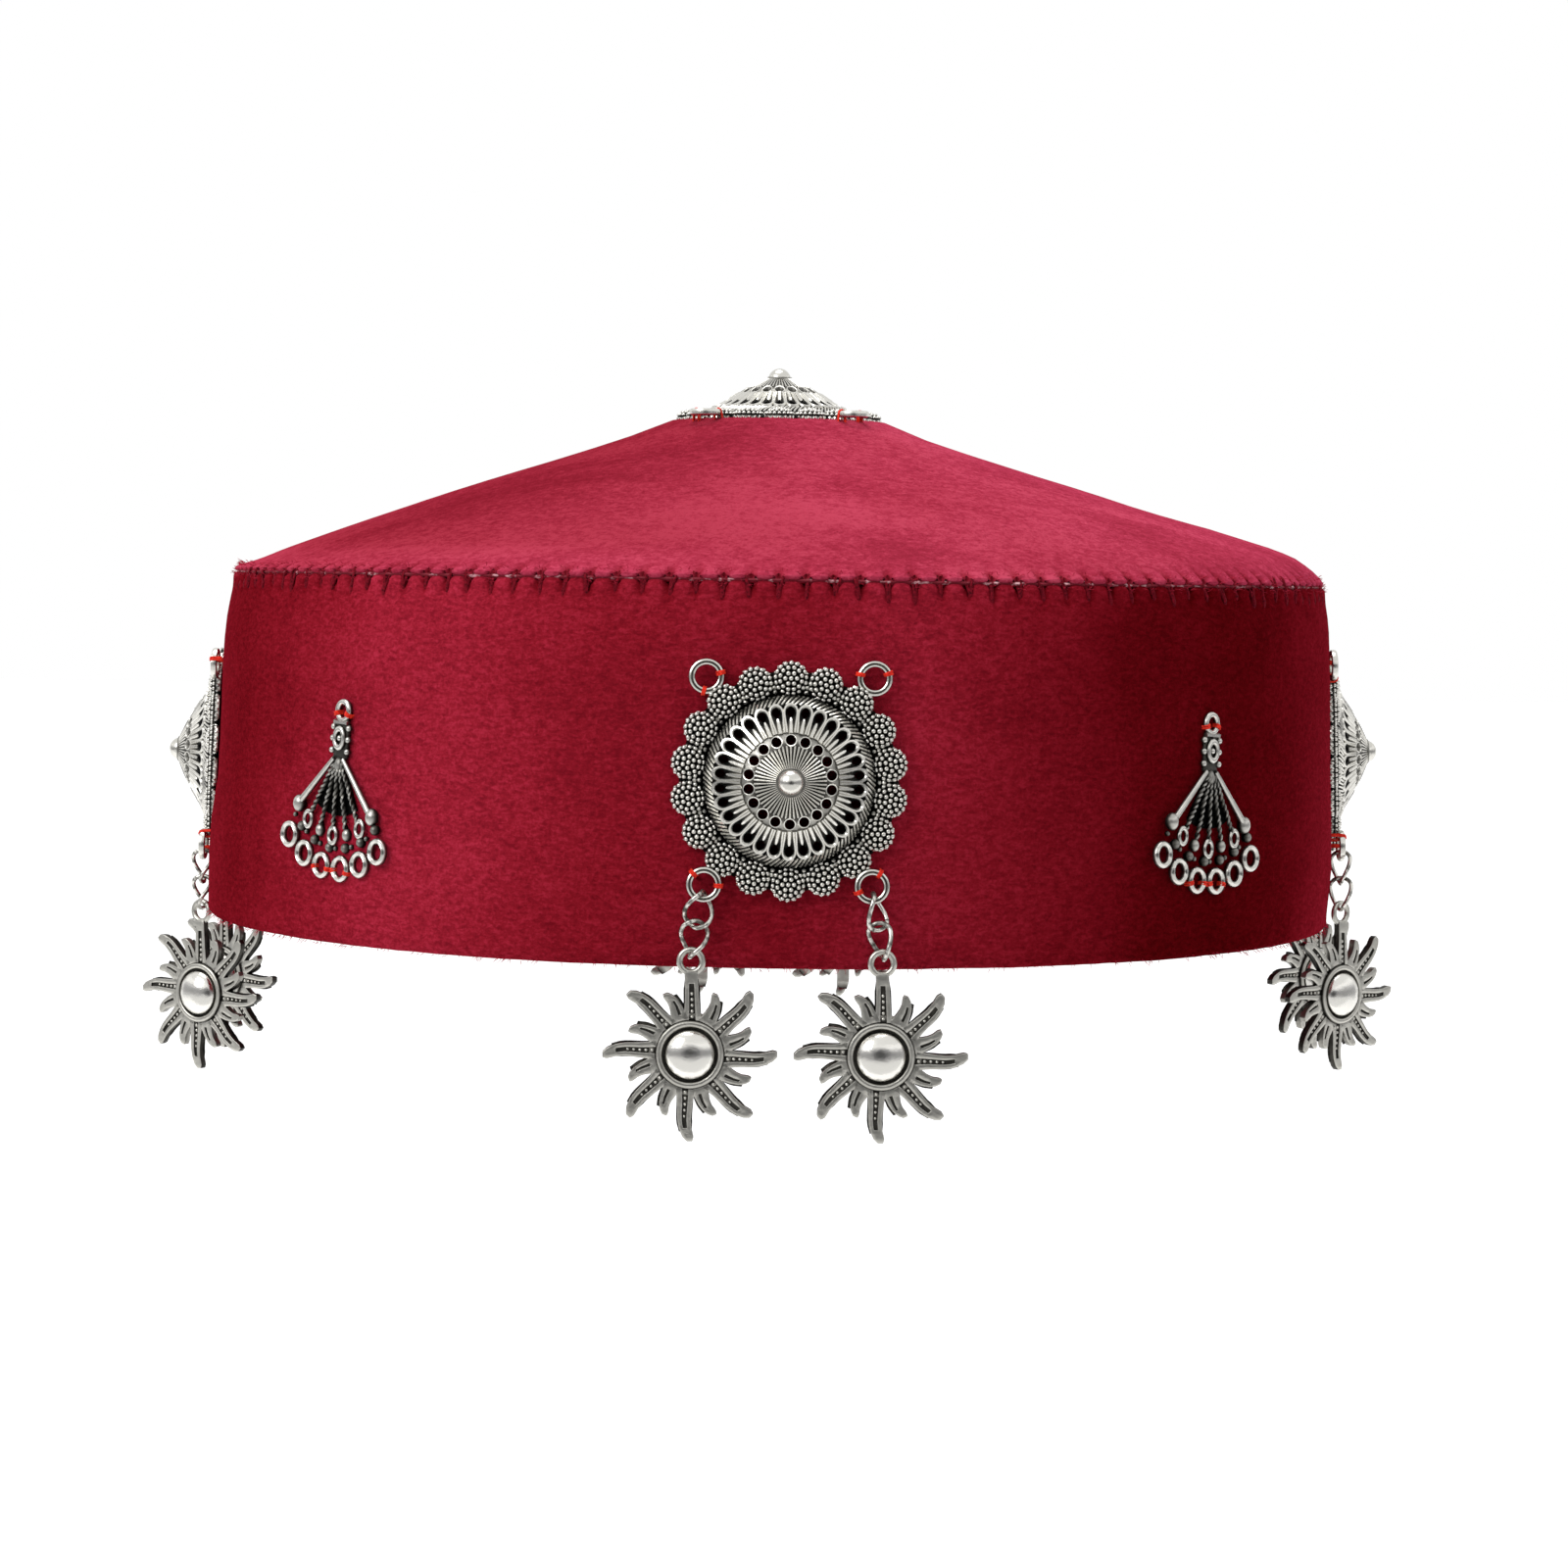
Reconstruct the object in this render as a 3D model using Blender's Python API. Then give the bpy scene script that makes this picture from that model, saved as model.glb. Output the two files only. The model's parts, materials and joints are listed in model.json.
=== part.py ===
"""Velvet hat with a low conical crown, an upright band, cast medallions, fan charms and sun pendants.

Metres, +Z up, the front faces -Y. The origin is the middle of the band's lower rim.
Angles are in degrees, and an azimuth runs from the front (0) towards +X (90).
"""
from math import atan2, cos, hypot, pi, radians, sin, sqrt

import bmesh
import bpy
from mathutils import Matrix, Vector

# Velvet over stiff felt
HEAD_RADIUS = 0.0915
WALL = 0.0025
BAND_HEIGHT = 0.0568
BAND_LEAN = 0.0033
CROWN_HEIGHT = 0.0247
CROWN_FLAT_MARGIN = 0.0006
SEAM_GAP = 0.0003
CLOTH_SIDES = 36
CLOTH_BEND = 3

# Medallion: lengths out from its axis, heights up from its back
SEAT_GAP = 0.0003
MEDALLION_RADIUS = 0.0176
SCALLOPS = 18
SCALLOP_DEPTH = 0.0022
SCALLOP_RELIEF = 0.0012
BORDER_WIDTH = 0.0052
BORDER_THICKNESS = 0.0012
CONE_HEIGHT = 0.0075
SHELL = 0.0009
HOLE_CIRCLE = 0.0061
HOLE_WIDTH = 0.00135
BALL_RADIUS = 0.00195
BALL_SHOULDER = 0.75
BALL_SIDES = 10

# Sewing rings, four on each medallion, offset outwards from its radius
RING_RADIUS = 0.00265
RING_WIRE = 0.0010
RING_OFFSET = 0.0019
RING_ANGLE = 39.0
RING_LIFT = 0.0012
RING_SIDES = 8
RING_WIRE_SIDES = 4

# Chain of two twisted oval links
LINK_LENGTH = 0.0061
LINK_WIDTH = 0.0048
LINK_WIRE = 0.0007
LINK_SIDES = 10
LINK_WIRE_SIDES = 5
LINK_GAP = 0.0003
LINK_TANGENT_STEP = 0.01
CHAIN_LEAN = 10.0

# Sun pendant: lengths out from the middle of its disc
SUN_DISC_RADIUS = 0.0050
SUN_THICKNESS = 0.0012
SUN_DOME_HEIGHT = 0.0021
SUN_DISC_SIDES = 12
DOME_CREST = 0.65
SUN_RAYS = 16
SUN_VALLEY = 0.0062
SUN_VALLEY_SWAY = -4.0
SUN_LONG_RAY = 0.0126
SUN_SHORT_RAY = 0.0096
SUN_RAY_WIDTH = 0.0019
SUN_TIP_WIDTH = 0.0011
SUN_LOOP_RADIUS = 0.00215
SUN_LOOP_WIRE = 0.00095
SUN_LOOP_REACH = 0.01365

# Fan charm: lengths from the point where its rods meet
FAN_THICKNESS = 0.0010
FAN_RELIEF = 0.0007
FAN_RODS = 7
FAN_ROD_ANGLE = 15.5
FAN_ROD_START = 0.0040
FAN_ROD_END = 0.0112
FAN_CUP_REACH = 0.0122
FAN_CUP_RADIUS = 0.0015
FAN_CUP_ANGLE = 5.5
FAN_RING_REACH = 0.0171
FAN_RING_RADIUS = 0.0020
FAN_RING_HOLE = 0.00125
FAN_RING_TURN = 75.0
FAN_RING_NOTCH = 0.0008
FAN_HOLE_SIDES = 6
FAN_NECK_WIDTH = 0.0042
FAN_NECK_TOP = 0.0045
FAN_LOOP_REACH = 0.0065
FAN_LOOP_RADIUS = 0.0018
FAN_LOOP_HOLE = 0.0009
FAN_LOOP_FOOT = 0.0002
FAN_HEIGHT = 0.0289
FAN_TURN = -4.0

# One scallop of a medallion's border: corners as shares of its step and of its depth
SCALLOP_CORNERS = (
    # turn, depth
    (-0.50, 1.0),
    (-0.24, 0.0),
    (0.24, 0.0),
)

# Band sections, bottom to top, as shares of its height and of its lean
BAND_SECTIONS = (
    # height, lean
    (0.00, 0.00),
    (0.25, 0.03),
    (0.55, 0.22),
    (0.80, 0.36),
    (0.92, 0.64),
    (1.00, 1.00),
)

# Crown sections, rim to top, as shares of its rim radius and of its rise
CROWN_SECTIONS = (
    # radius, rise
    (1.000, 0.000),
    (0.985, 0.052),
    (0.921, 0.158),
    (0.643, 0.494),
    (0.290, 0.890),
)

# A ray's sway: how far along it, and how far its middle line is turned from its own direction
LONG_RAY_SWAY = (
    # share, degrees
    (0.00, -7.5),
    (0.50, -3.5),
    (1.00, 0.5),
)
SHORT_RAY_SWAY = (
    # share, degrees
    (0.00, -5.0),
    (1.00, -0.5),
)

# Medallions on the band
WALL_MEDALLIONS = (
    # name, azimuth, height of the middle
    ("front", 1.2, 0.0277),
    ("right", 90.0, 0.0288),
    ("back", 180.0, 0.0277),
    ("left", 270.0, 0.0263),
)

# Chains under them: how far each link is twisted from end to end, and how far the two links
# and the sun are turned about the plumb line from facing straight out
CHAINS = (
    # medallion, side, twist, upper link, lower link, sun
    ("front", "left", 125.0, 20.0, -30.0, 0.0),
    ("front", "right", 70.0, 60.0, -50.0, 0.0),
    ("right", "left", 70.0, 30.0, 40.0, -50.0),
    ("right", "right", 70.0, 30.0, 40.0, -45.0),
    ("back", "left", 125.0, 20.0, -30.0, 0.0),
    ("back", "right", 125.0, 20.0, -30.0, 0.0),
    ("left", "left", 110.0, 40.0, 30.0, 50.0),
    ("left", "right", 110.0, 40.0, 30.0, 56.0),
)

# Fan charms on the band
FANS = (
    # name, azimuth
    ("front_right", 45.0),
    ("back_right", 135.0),
    ("back_left", 225.0),
    ("front_left", 315.0),
)

# Finishes: base colour, metallic, roughness, sheen
FINISHES = {
    "crown_velvet": ((0.46, 0.035, 0.065, 1.0), 0.0, 0.85, 0.6),
    "band_velvet": ((0.26, 0.009, 0.028, 1.0), 0.0, 0.85, 0.6),
    "medallion_silver": ((0.55, 0.54, 0.52, 1.0), 1.0, 0.34, 0.0),
    "fan_silver": ((0.50, 0.49, 0.47, 1.0), 1.0, 0.36, 0.0),
    "link_silver": ((0.60, 0.59, 0.57, 1.0), 1.0, 0.30, 0.0),
    "sun_silver": ((0.42, 0.41, 0.39, 1.0), 1.0, 0.32, 0.0),
}

SEAM_HEIGHT = BAND_HEIGHT + SEAM_GAP
RIM_RADIUS = HEAD_RADIUS + WALL - BAND_LEAN
CROWN_TOP = SEAM_HEIGHT + CROWN_HEIGHT
RING_REACH = MEDALLION_RADIUS + RING_OFFSET
FACING = Matrix.Rotation(radians(90.0), 4, "X")
FLAT_ANGLE = radians(0.5)


def clear_scene():
    """Removes whatever the file holds."""
    for thing in list(bpy.data.objects):
        bpy.data.objects.remove(thing, do_unlink=True)


def make_finishes():
    """One Principled material for each kind of piece."""
    made = {}
    for name, (colour, metallic, roughness, sheen) in FINISHES.items():
        material = bpy.data.materials.new(name)
        material.use_nodes = True
        shader = material.node_tree.nodes["Principled BSDF"]
        shader.inputs["Base Color"].default_value = colour
        shader.inputs["Metallic"].default_value = metallic
        shader.inputs["Roughness"].default_value = roughness
        shader.inputs["Sheen Weight"].default_value = sheen
        made[name] = material
    return made


def between(rows, share):
    """The second column of a two-column table at a share of its first."""
    for (low, start), (high, end) in zip(rows, rows[1:]):
        if share <= high:
            return start + (end - start) * (share - low) / (high - low)
    return rows[-1][1]


def ring(bm, points, height):
    """Vertices at flat points, all at one height."""
    return [bm.verts.new((x, y, height)) for x, y in points]


def circle(count, radius, start=0.0, middle=(0.0, 0.0)):
    """Flat points of a circle, counter-clockwise from a start angle in radians."""
    turns = [start + 2.0 * pi * i / count for i in range(count)]
    return [(middle[0] + radius * cos(a), middle[1] + radius * sin(a)) for a in turns]


def stitch(bm, outer, inner):
    """Triangles from one closed ring to the next, whatever their counts."""
    many, few = len(outer), len(inner)
    i = j = 0
    while i < many or j < few:
        here, there = outer[i % many], inner[j % few]
        step_outer = j >= few or (i < many and (i + 1) * few <= (j + 1) * many)
        if step_outer:
            i += 1
            bm.faces.new((here, outer[i % many], there))
        else:
            j += 1
            bm.faces.new((here, inner[j % few], there))


def close_to_point(bm, around, point):
    """A fan of triangles from a ring to one vertex."""
    for a, b in zip(around, around[1:] + around[:1]):
        bm.faces.new((a, b, point))


def fill(bm, loops, facing):
    """A face inside the first closed loop, with the others as holes in it."""
    edges = []
    for verts in loops:
        pairs = list(zip(verts, verts[1:] + verts[:1]))
        edges.extend(bm.edges.get(pair) or bm.edges.new(pair) for pair in pairs)
    bmesh.ops.triangle_fill(bm, edges=edges, use_beauty=True, normal=facing)


def finished(bm, name):
    """A closed mesh with its faces out and its flat creases sharp."""
    bmesh.ops.recalc_face_normals(bm, faces=bm.faces)
    mesh = bpy.data.meshes.new(name)
    bm.to_mesh(mesh)
    bm.free()
    shade(mesh)
    return mesh


def shade(mesh):
    """Smooth shading that keeps the creases."""
    mesh.shade_smooth()
    mesh.set_sharp_from_angle(angle=radians(35.0))


def fuse(name, meshes):
    """One body from meshes that run into each other."""
    parts = [bpy.data.objects.new(mesh.name, mesh) for mesh in meshes]
    for part in parts:
        bpy.context.scene.collection.objects.link(part)
    for other in parts[1:]:
        union = parts[0].modifiers.new(other.name, "BOOLEAN")
        union.operation = "UNION"
        union.object = other
    graph = bpy.context.evaluated_depsgraph_get()
    bm = bmesh.new()
    bm.from_object(parts[0], graph)
    for part in parts:
        bpy.data.objects.remove(part, do_unlink=True)
    bmesh.ops.dissolve_limit(bm, angle_limit=FLAT_ANGLE, verts=bm.verts, edges=bm.edges)
    return finished(bm, name)


def revolve(name, outside, inside, pole_outside=None, pole_inside=None):
    """A cloth wall from rings of (radius, height), outside rings from the hem up, inside ones down."""
    bm = bmesh.new()
    rows = [ring(bm, circle(CLOTH_SIDES, radius), height) for radius, height in outside + inside]
    split = len(outside)
    pairs = list(zip(rows, rows[1:]))
    if pole_outside is not None:
        del pairs[split - 1]
        close_to_point(bm, rows[split - 1], bm.verts.new((0.0, 0.0, pole_outside)))
        close_to_point(bm, rows[split], bm.verts.new((0.0, 0.0, pole_inside)))
    for lower, upper in pairs + [(rows[-1], rows[0])]:
        for i in range(CLOTH_SIDES):
            j = (i + 1) % CLOTH_SIDES
            bm.faces.new((lower[i], lower[j], upper[j], upper[i]))
    return finished(bm, name)


def wall_radius(height):
    """The band's outer radius at a height."""
    return HEAD_RADIUS + WALL - BAND_LEAN * between(BAND_SECTIONS, height / BAND_HEIGHT)


def band_mesh():
    """The upright wall, from the hem to the seam."""
    heights = [share * BAND_HEIGHT for share, _ in BAND_SECTIONS]
    outside = [(wall_radius(height), height) for height in heights]
    inner_heights = (heights[-1], heights[CLOTH_BEND], heights[0])
    inside = [(wall_radius(height) - WALL, height) for height in inner_heights]
    return revolve("band", outside, inside)


def crown_mesh():
    """The top, from the seam up to the flat middle that carries a medallion."""
    flat = MEDALLION_RADIUS + CROWN_FLAT_MARGIN
    outside = []
    for share, rise in CROWN_SECTIONS:
        outside.append((RIM_RADIUS * share, SEAM_HEIGHT + CROWN_HEIGHT * rise))
    outside.append((flat, CROWN_TOP))
    steep = hypot(CROWN_HEIGHT, RIM_RADIUS - flat) / (RIM_RADIUS - flat)
    drop = WALL * steep
    bend_radius, bend_height = outside[CLOTH_BEND]
    inside = [
        (flat, CROWN_TOP - drop),
        (bend_radius, bend_height - drop),
        (RIM_RADIUS - WALL, SEAM_HEIGHT),
    ]
    return revolve("crown", outside, inside, CROWN_TOP, CROWN_TOP - drop)


def loop_mesh(name, radius, wire, middle, height, turn):
    """A cast ring that lies flat, with a square wire set on its corner."""
    bm = bmesh.new()
    rows = []
    for i in range(RING_SIDES):
        around = turn + 2.0 * pi * i / RING_SIDES
        row = []
        for k in range(RING_WIRE_SIDES):
            corner = 2.0 * pi * k / RING_WIRE_SIDES
            reach = radius - wire / 2.0 + wire / 2.0 * cos(corner)
            x, y = middle[0] + reach * cos(around), middle[1] + reach * sin(around)
            row.append(bm.verts.new((x, y, height + wire / 2.0 * sin(corner))))
        rows.append(row)
    for a, b in zip(rows, rows[1:] + rows[:1]):
        for k in range(RING_WIRE_SIDES):
            j = (k + 1) % RING_WIRE_SIDES
            bm.faces.new((a[k], b[k], b[j], a[j]))
    return finished(bm, name)


def sewing_ring_places():
    """Flat places of the four sewing rings: upper pair, then lower left and lower right."""
    across, up = RING_REACH * sin(radians(RING_ANGLE)), RING_REACH * cos(radians(RING_ANGLE))
    return [(-across, up), (across, up), (-across, -up), (across, -up)]


def medallion_mesh():
    """A pierced cone on a scalloped border, hollow behind, with a ball on its tip."""
    bm = bmesh.new()
    step = 2.0 * pi / SCALLOPS
    cone_radius = MEDALLION_RADIUS - BORDER_WIDTH
    slope = CONE_HEIGHT / cone_radius

    def cone_height(radius):
        return BORDER_THICKNESS + slope * (cone_radius - radius)

    outline, inner_edge, holes_out, holes_in = [], [], [], []
    hole_turn = HOLE_WIDTH / 2.0 / HOLE_CIRCLE
    far, near = HOLE_CIRCLE + HOLE_WIDTH / 2.0, HOLE_CIRCLE - HOLE_WIDTH / 2.0
    for i in range(SCALLOPS):
        middle = pi / 2.0 + step * i
        for turn, depth in SCALLOP_CORNERS:
            angle = middle + turn * step
            reach = MEDALLION_RADIUS - SCALLOP_DEPTH * depth
            outline.append((reach * cos(angle), reach * sin(angle)))
        angle = middle - step / 2.0
        inner_edge.append((cos(angle), sin(angle)))
        for turn in (-hole_turn, hole_turn):
            holes_out.append((cos(middle + turn), sin(middle + turn)))
    back = ring(bm, outline, 0.0)
    front = ring(bm, outline, BORDER_THICKNESS)
    edge = ring(bm, [(cone_radius * x, cone_radius * y) for x, y in inner_edge], BORDER_THICKNESS)
    for a in range(len(back)):
        b = (a + 1) % len(back)
        bm.faces.new((back[a], back[b], front[b], front[a]))
    for i in range(SCALLOPS):
        middle = pi / 2.0 + step * i
        reach = MEDALLION_RADIUS - BORDER_WIDTH / 2.0
        top = bm.verts.new((reach * cos(middle), reach * sin(middle), BORDER_THICKNESS + SCALLOP_RELIEF))
        following = (i + 1) % SCALLOPS
        around = [front[3 * i], front[3 * i + 1], front[3 * i + 2], front[3 * following]]
        close_to_point(bm, around + [edge[following], edge[i]], top)

    inner_radius = cone_radius - SHELL
    layers = {}
    for key, scale, height in (
        ("far_out", far, cone_height(far)),
        ("near_out", near, cone_height(near)),
        ("far_in", far, cone_height(far) - SHELL),
        ("near_in", near, cone_height(near) - SHELL),
    ):
        layers[key] = ring(bm, [(scale * x, scale * y) for x, y in holes_out], height)
    base_in = ring(bm, [(inner_radius * x, inner_radius * y) for x, y in inner_edge], 0.0)
    stitch(bm, edge, layers["far_out"])
    stitch(bm, base_in, layers["far_in"])
    stitch(bm, back, base_in)
    count = 2 * SCALLOPS
    for i in range(0, count, 2):
        a, b, c = i, i + 1, (i + 2) % count
        for side in ("out", "in"):
            outer, inner = layers["far_" + side], layers["near_" + side]
            bm.faces.new((outer[b], outer[c], inner[c], inner[b]))
        corners = [("far_", a), ("far_", b), ("near_", b), ("near_", a)]
        mouth = [layers[key + "out"][place] for key, place in corners]
        bottom = [layers[key + "in"][place] for key, place in corners]
        for m in range(len(corners)):
            n = (m + 1) % len(corners)
            bm.faces.new((mouth[m], mouth[n], bottom[n], bottom[m]))
    close_to_point(bm, layers["near_in"], bm.verts.new((0.0, 0.0, cone_height(0.0) - SHELL)))
    ball_foot = cone_height(BALL_RADIUS)
    foot = ring(bm, circle(BALL_SIDES, BALL_RADIUS, pi / 2.0), ball_foot)
    shoulder = BALL_RADIUS * BALL_SHOULDER
    shoulder = ring(bm, circle(BALL_SIDES, shoulder, pi / 2.0), ball_foot + shoulder)
    stitch(bm, layers["near_out"], foot)
    stitch(bm, foot, shoulder)
    close_to_point(bm, shoulder, bm.verts.new((0.0, 0.0, ball_foot + BALL_RADIUS)))
    body = finished(bm, "medallion_body")
    rings = []
    for number, middle in enumerate(sewing_ring_places()):
        name = f"sewing_ring_{number}"
        turn = atan2(middle[1], middle[0])
        rings.append(loop_mesh(name, RING_RADIUS, RING_WIRE, middle, RING_LIFT, turn))
    return fuse("medallion", [body] + rings)


def link_mesh(twist_all):
    """An oval link, upright along Y and twisted about it by so many degrees from end to end."""
    bm = bmesh.new()
    half_length, half_width = (LINK_LENGTH - LINK_WIRE) / 2.0, (LINK_WIDTH - LINK_WIRE) / 2.0
    straight = half_length - half_width

    def middle_line(turn):
        x, y = half_width * cos(turn), half_width * sin(turn)
        y += straight * max(-1.0, min(1.0, 2.0 * sin(turn)))
        twist = radians(twist_all) / 2.0 * y / half_length
        return Vector((x * cos(twist), y, -x * sin(twist)))

    rows = []
    for i in range(LINK_SIDES):
        turn = pi / 2.0 + 2.0 * pi * i / LINK_SIDES
        here = middle_line(turn)
        before, after = turn - LINK_TANGENT_STEP, turn + LINK_TANGENT_STEP
        along = (middle_line(after) - middle_line(before)).normalized()
        aside = here.cross(along).normalized()
        outward = along.cross(aside)
        row = []
        for k in range(LINK_WIRE_SIDES):
            corner = 2.0 * pi * k / LINK_WIRE_SIDES
            off = outward * cos(corner) + aside * sin(corner)
            row.append(bm.verts.new(here + off * LINK_WIRE / 2.0))
        rows.append(row)
    for a, b in zip(rows, rows[1:] + rows[:1]):
        for k in range(LINK_WIRE_SIDES):
            j = (k + 1) % LINK_WIRE_SIDES
            bm.faces.new((a[k], b[k], b[j], a[j]))
    return finished(bm, "link")


def ray_outline(direction, reach, sway, stations):
    """Flat points round one ray, from its right side over the tip to its left side."""
    right, left = [], []
    for share, width in stations:
        out = SUN_VALLEY + (reach - SUN_VALLEY) * share
        angle = direction + radians(between(sway, share))
        middle = Vector((out * cos(angle), out * sin(angle)))
        side = Vector((-sin(angle), cos(angle))) * width / 2.0
        right.append(tuple(middle - side))
        if width > 0.0:
            left.append(tuple(middle + side))
    return right + left[::-1]


def sun_mesh():
    """A disc with a dome and sixteen swaying rays; the origin is where its loop hangs."""
    bm = bmesh.new()
    half = SUN_THICKNESS / 2.0
    lower = -(SUN_LOOP_REACH + SUN_LOOP_RADIUS - SUN_LOOP_WIRE / 2.0)
    step = 2.0 * pi / SUN_RAYS
    neck = SUN_LOOP_REACH - SUN_LOOP_RADIUS + SUN_LOOP_WIRE / 2.0
    valleys = circle(SUN_RAYS, SUN_VALLEY, pi / 2.0 - step / 2.0 + radians(SUN_VALLEY_SWAY))
    fronts, backs = ring(bm, valleys, half), ring(bm, valleys, -half)
    for i in range(SUN_RAYS):
        direction = pi / 2.0 + step * i
        if i == 0:
            outline = [(SUN_RAY_WIDTH / 2.0, neck), (-SUN_RAY_WIDTH / 2.0, neck)]
        elif i % 2 == 0:
            stations = ((0.5, (SUN_RAY_WIDTH + SUN_TIP_WIDTH) / 2.0), (1.0, SUN_TIP_WIDTH))
            outline = ray_outline(direction, SUN_LONG_RAY, LONG_RAY_SWAY, stations)
        else:
            outline = ray_outline(direction, SUN_SHORT_RAY, SHORT_RAY_SWAY, ((1.0, 0.0),))
        following = (i + 1) % SUN_RAYS
        front = [fronts[i]] + ring(bm, outline, half) + [fronts[following]]
        back = [backs[i]] + ring(bm, outline, -half) + [backs[following]]
        bm.faces.new(front)
        bm.faces.new(back[::-1])
        for k in range(len(front) - 1):
            bm.faces.new((back[k], back[k + 1], front[k + 1], front[k]))
    bm.faces.new(backs[::-1])
    rim = ring(bm, circle(SUN_DISC_SIDES, SUN_DISC_RADIUS, pi / 2.0 - step / 2.0), half)
    crest = circle(SUN_DISC_SIDES, SUN_DISC_RADIUS * DOME_CREST, pi / 2.0 - step / 2.0)
    crest = ring(bm, crest, half + SUN_DOME_HEIGHT * sqrt(1.0 - DOME_CREST**2))
    stitch(bm, fronts, rim)
    stitch(bm, rim, crest)
    close_to_point(bm, crest, bm.verts.new((0.0, 0.0, half + SUN_DOME_HEIGHT)))
    body = finished(bm, "sun_body")
    loop_middle = (0.0, SUN_LOOP_REACH)
    loop = loop_mesh("sun_loop", SUN_LOOP_RADIUS, SUN_LOOP_WIRE, loop_middle, 0.0, pi / 2.0)
    mesh = fuse("sun", [body, loop])
    mesh.transform(Matrix.Translation((0.0, lower, 0.0)))
    return mesh


def fan_points():
    """The fan's outline and holes, the tops of its rods, and the ends of rods and grooves by turns."""
    def below(angle, reach):
        return (reach * sin(radians(angle)), -reach * cos(radians(angle)))

    half_neck = FAN_NECK_WIDTH / 2.0
    ring_angles = [FAN_ROD_ANGLE * (i - (FAN_RODS - 2) / 2.0) for i in range(FAN_RODS - 1)]
    last = FAN_ROD_ANGLE * (FAN_RODS - 1) / 2.0
    outline = [(-half_neck, FAN_NECK_TOP), (-half_neck, -half_neck)]
    outline.append(below(-last - FAN_CUP_ANGLE, FAN_CUP_REACH - FAN_CUP_RADIUS))
    outline.append(below(-last - FAN_CUP_ANGLE, FAN_CUP_REACH + FAN_CUP_RADIUS))
    holes = []
    for number, angle in enumerate(ring_angles):
        middle = below(angle, FAN_RING_REACH)
        toward = radians(angle - 90.0)
        for turn in (-FAN_RING_TURN, 0.0, FAN_RING_TURN):
            spin = toward + radians(turn)
            x, y = FAN_RING_RADIUS * cos(spin), FAN_RING_RADIUS * sin(spin)
            outline.append((middle[0] + x, middle[1] + y))
        if number < len(ring_angles) - 1:
            outline.append(below(angle + FAN_ROD_ANGLE / 2.0, FAN_RING_REACH - FAN_RING_NOTCH))
        holes.append(circle(FAN_HOLE_SIDES, FAN_RING_HOLE, toward, middle))
    outline.append(below(last + FAN_CUP_ANGLE, FAN_CUP_REACH + FAN_CUP_RADIUS))
    outline.append(below(last + FAN_CUP_ANGLE, FAN_CUP_REACH - FAN_CUP_RADIUS))
    outline += [(half_neck, -half_neck), (half_neck, FAN_NECK_TOP)]
    loop = circle(RING_SIDES, FAN_LOOP_RADIUS, pi / RING_SIDES - pi / 2.0, (0.0, FAN_LOOP_REACH))
    outline += [point for point in loop if point[1] > FAN_NECK_TOP + FAN_LOOP_FOOT]
    holes.append(circle(FAN_HOLE_SIDES, FAN_LOOP_HOLE, 0.0, (0.0, FAN_LOOP_REACH)))
    lines = [FAN_ROD_ANGLE * (i - FAN_RODS + 1) / 2.0 for i in range(2 * FAN_RODS - 1)]
    tops = [below(angle, FAN_ROD_START) for angle in lines[::2]]
    ends = [below(angle, FAN_ROD_END) for angle in lines]
    return outline, holes, tops, ends


def fan_mesh():
    """A cast plate pierced by its rings, with a raised rod to each cup."""
    bm = bmesh.new()
    outline, holes, tops, ends = fan_points()
    back = [ring(bm, points, 0.0) for points in [outline] + holes]
    front = [ring(bm, points, FAN_THICKNESS) for points in [outline] + holes]
    for low, high in zip(back, front):
        for a in range(len(low)):
            b = (a + 1) % len(low)
            bm.faces.new((low[a], low[b], high[b], high[a]))
    upper, lower = ring(bm, tops, FAN_THICKNESS), ring(bm, ends, FAN_THICKNESS)
    for vert in upper + lower[::2]:
        vert.co.z += FAN_RELIEF
    for i in range(len(upper) - 1):
        bm.faces.new((upper[i], lower[2 * i], lower[2 * i + 1]))
        bm.faces.new((upper[i], lower[2 * i + 1], upper[i + 1]))
        bm.faces.new((upper[i + 1], lower[2 * i + 1], lower[2 * i + 2]))
    fill(bm, back, (0.0, 0.0, -1.0))
    fill(bm, front + [upper + lower[::-1]], (0.0, 0.0, 1.0))
    return finished(bm, "fan")


def seat(low, high):
    """Radius, height and tilt of a flat back that lies against the band between two heights."""
    bottom, top = wall_radius(low), wall_radius(high)
    tilt = atan2(bottom - top, high - low)
    stand_off = 0.0
    for share in (0.25, 0.5, 0.75):
        height = low + (high - low) * share
        stand_off = max(stand_off, wall_radius(height) - (bottom + (top - bottom) * share))
    radius = (bottom + top) / 2.0 + stand_off + SEAT_GAP / cos(tilt)
    return radius, (low + high) / 2.0, tilt


def on_wall(azimuth, height, reach, turn=0.0):
    """The place of an ornament on the band: X across, Y up, Z out of the wall."""
    radius, middle, tilt = seat(height - reach, height + reach)
    place = Matrix.Rotation(radians(azimuth), 4, "Z") @ Matrix.Translation((0.0, -radius, middle))
    return place @ FACING @ Matrix.Rotation(-tilt, 4, "X") @ Matrix.Rotation(radians(turn), 4, "Z")


def hanging(point, azimuth):
    """The place of a piece that hangs plumb at a point: X across, Y up, Z facing out."""
    return Matrix.Translation(point) @ Matrix.Rotation(radians(azimuth), 4, "Z") @ FACING


def put(name, mesh, material, place):
    """One named object with its own mesh."""
    thing = bpy.data.objects.new(name, mesh.copy())
    thing.data.name = name
    thing.data.materials.clear()
    thing.data.materials.append(material)
    thing.matrix_world = place
    bpy.context.scene.collection.objects.link(thing)
    return thing


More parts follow.
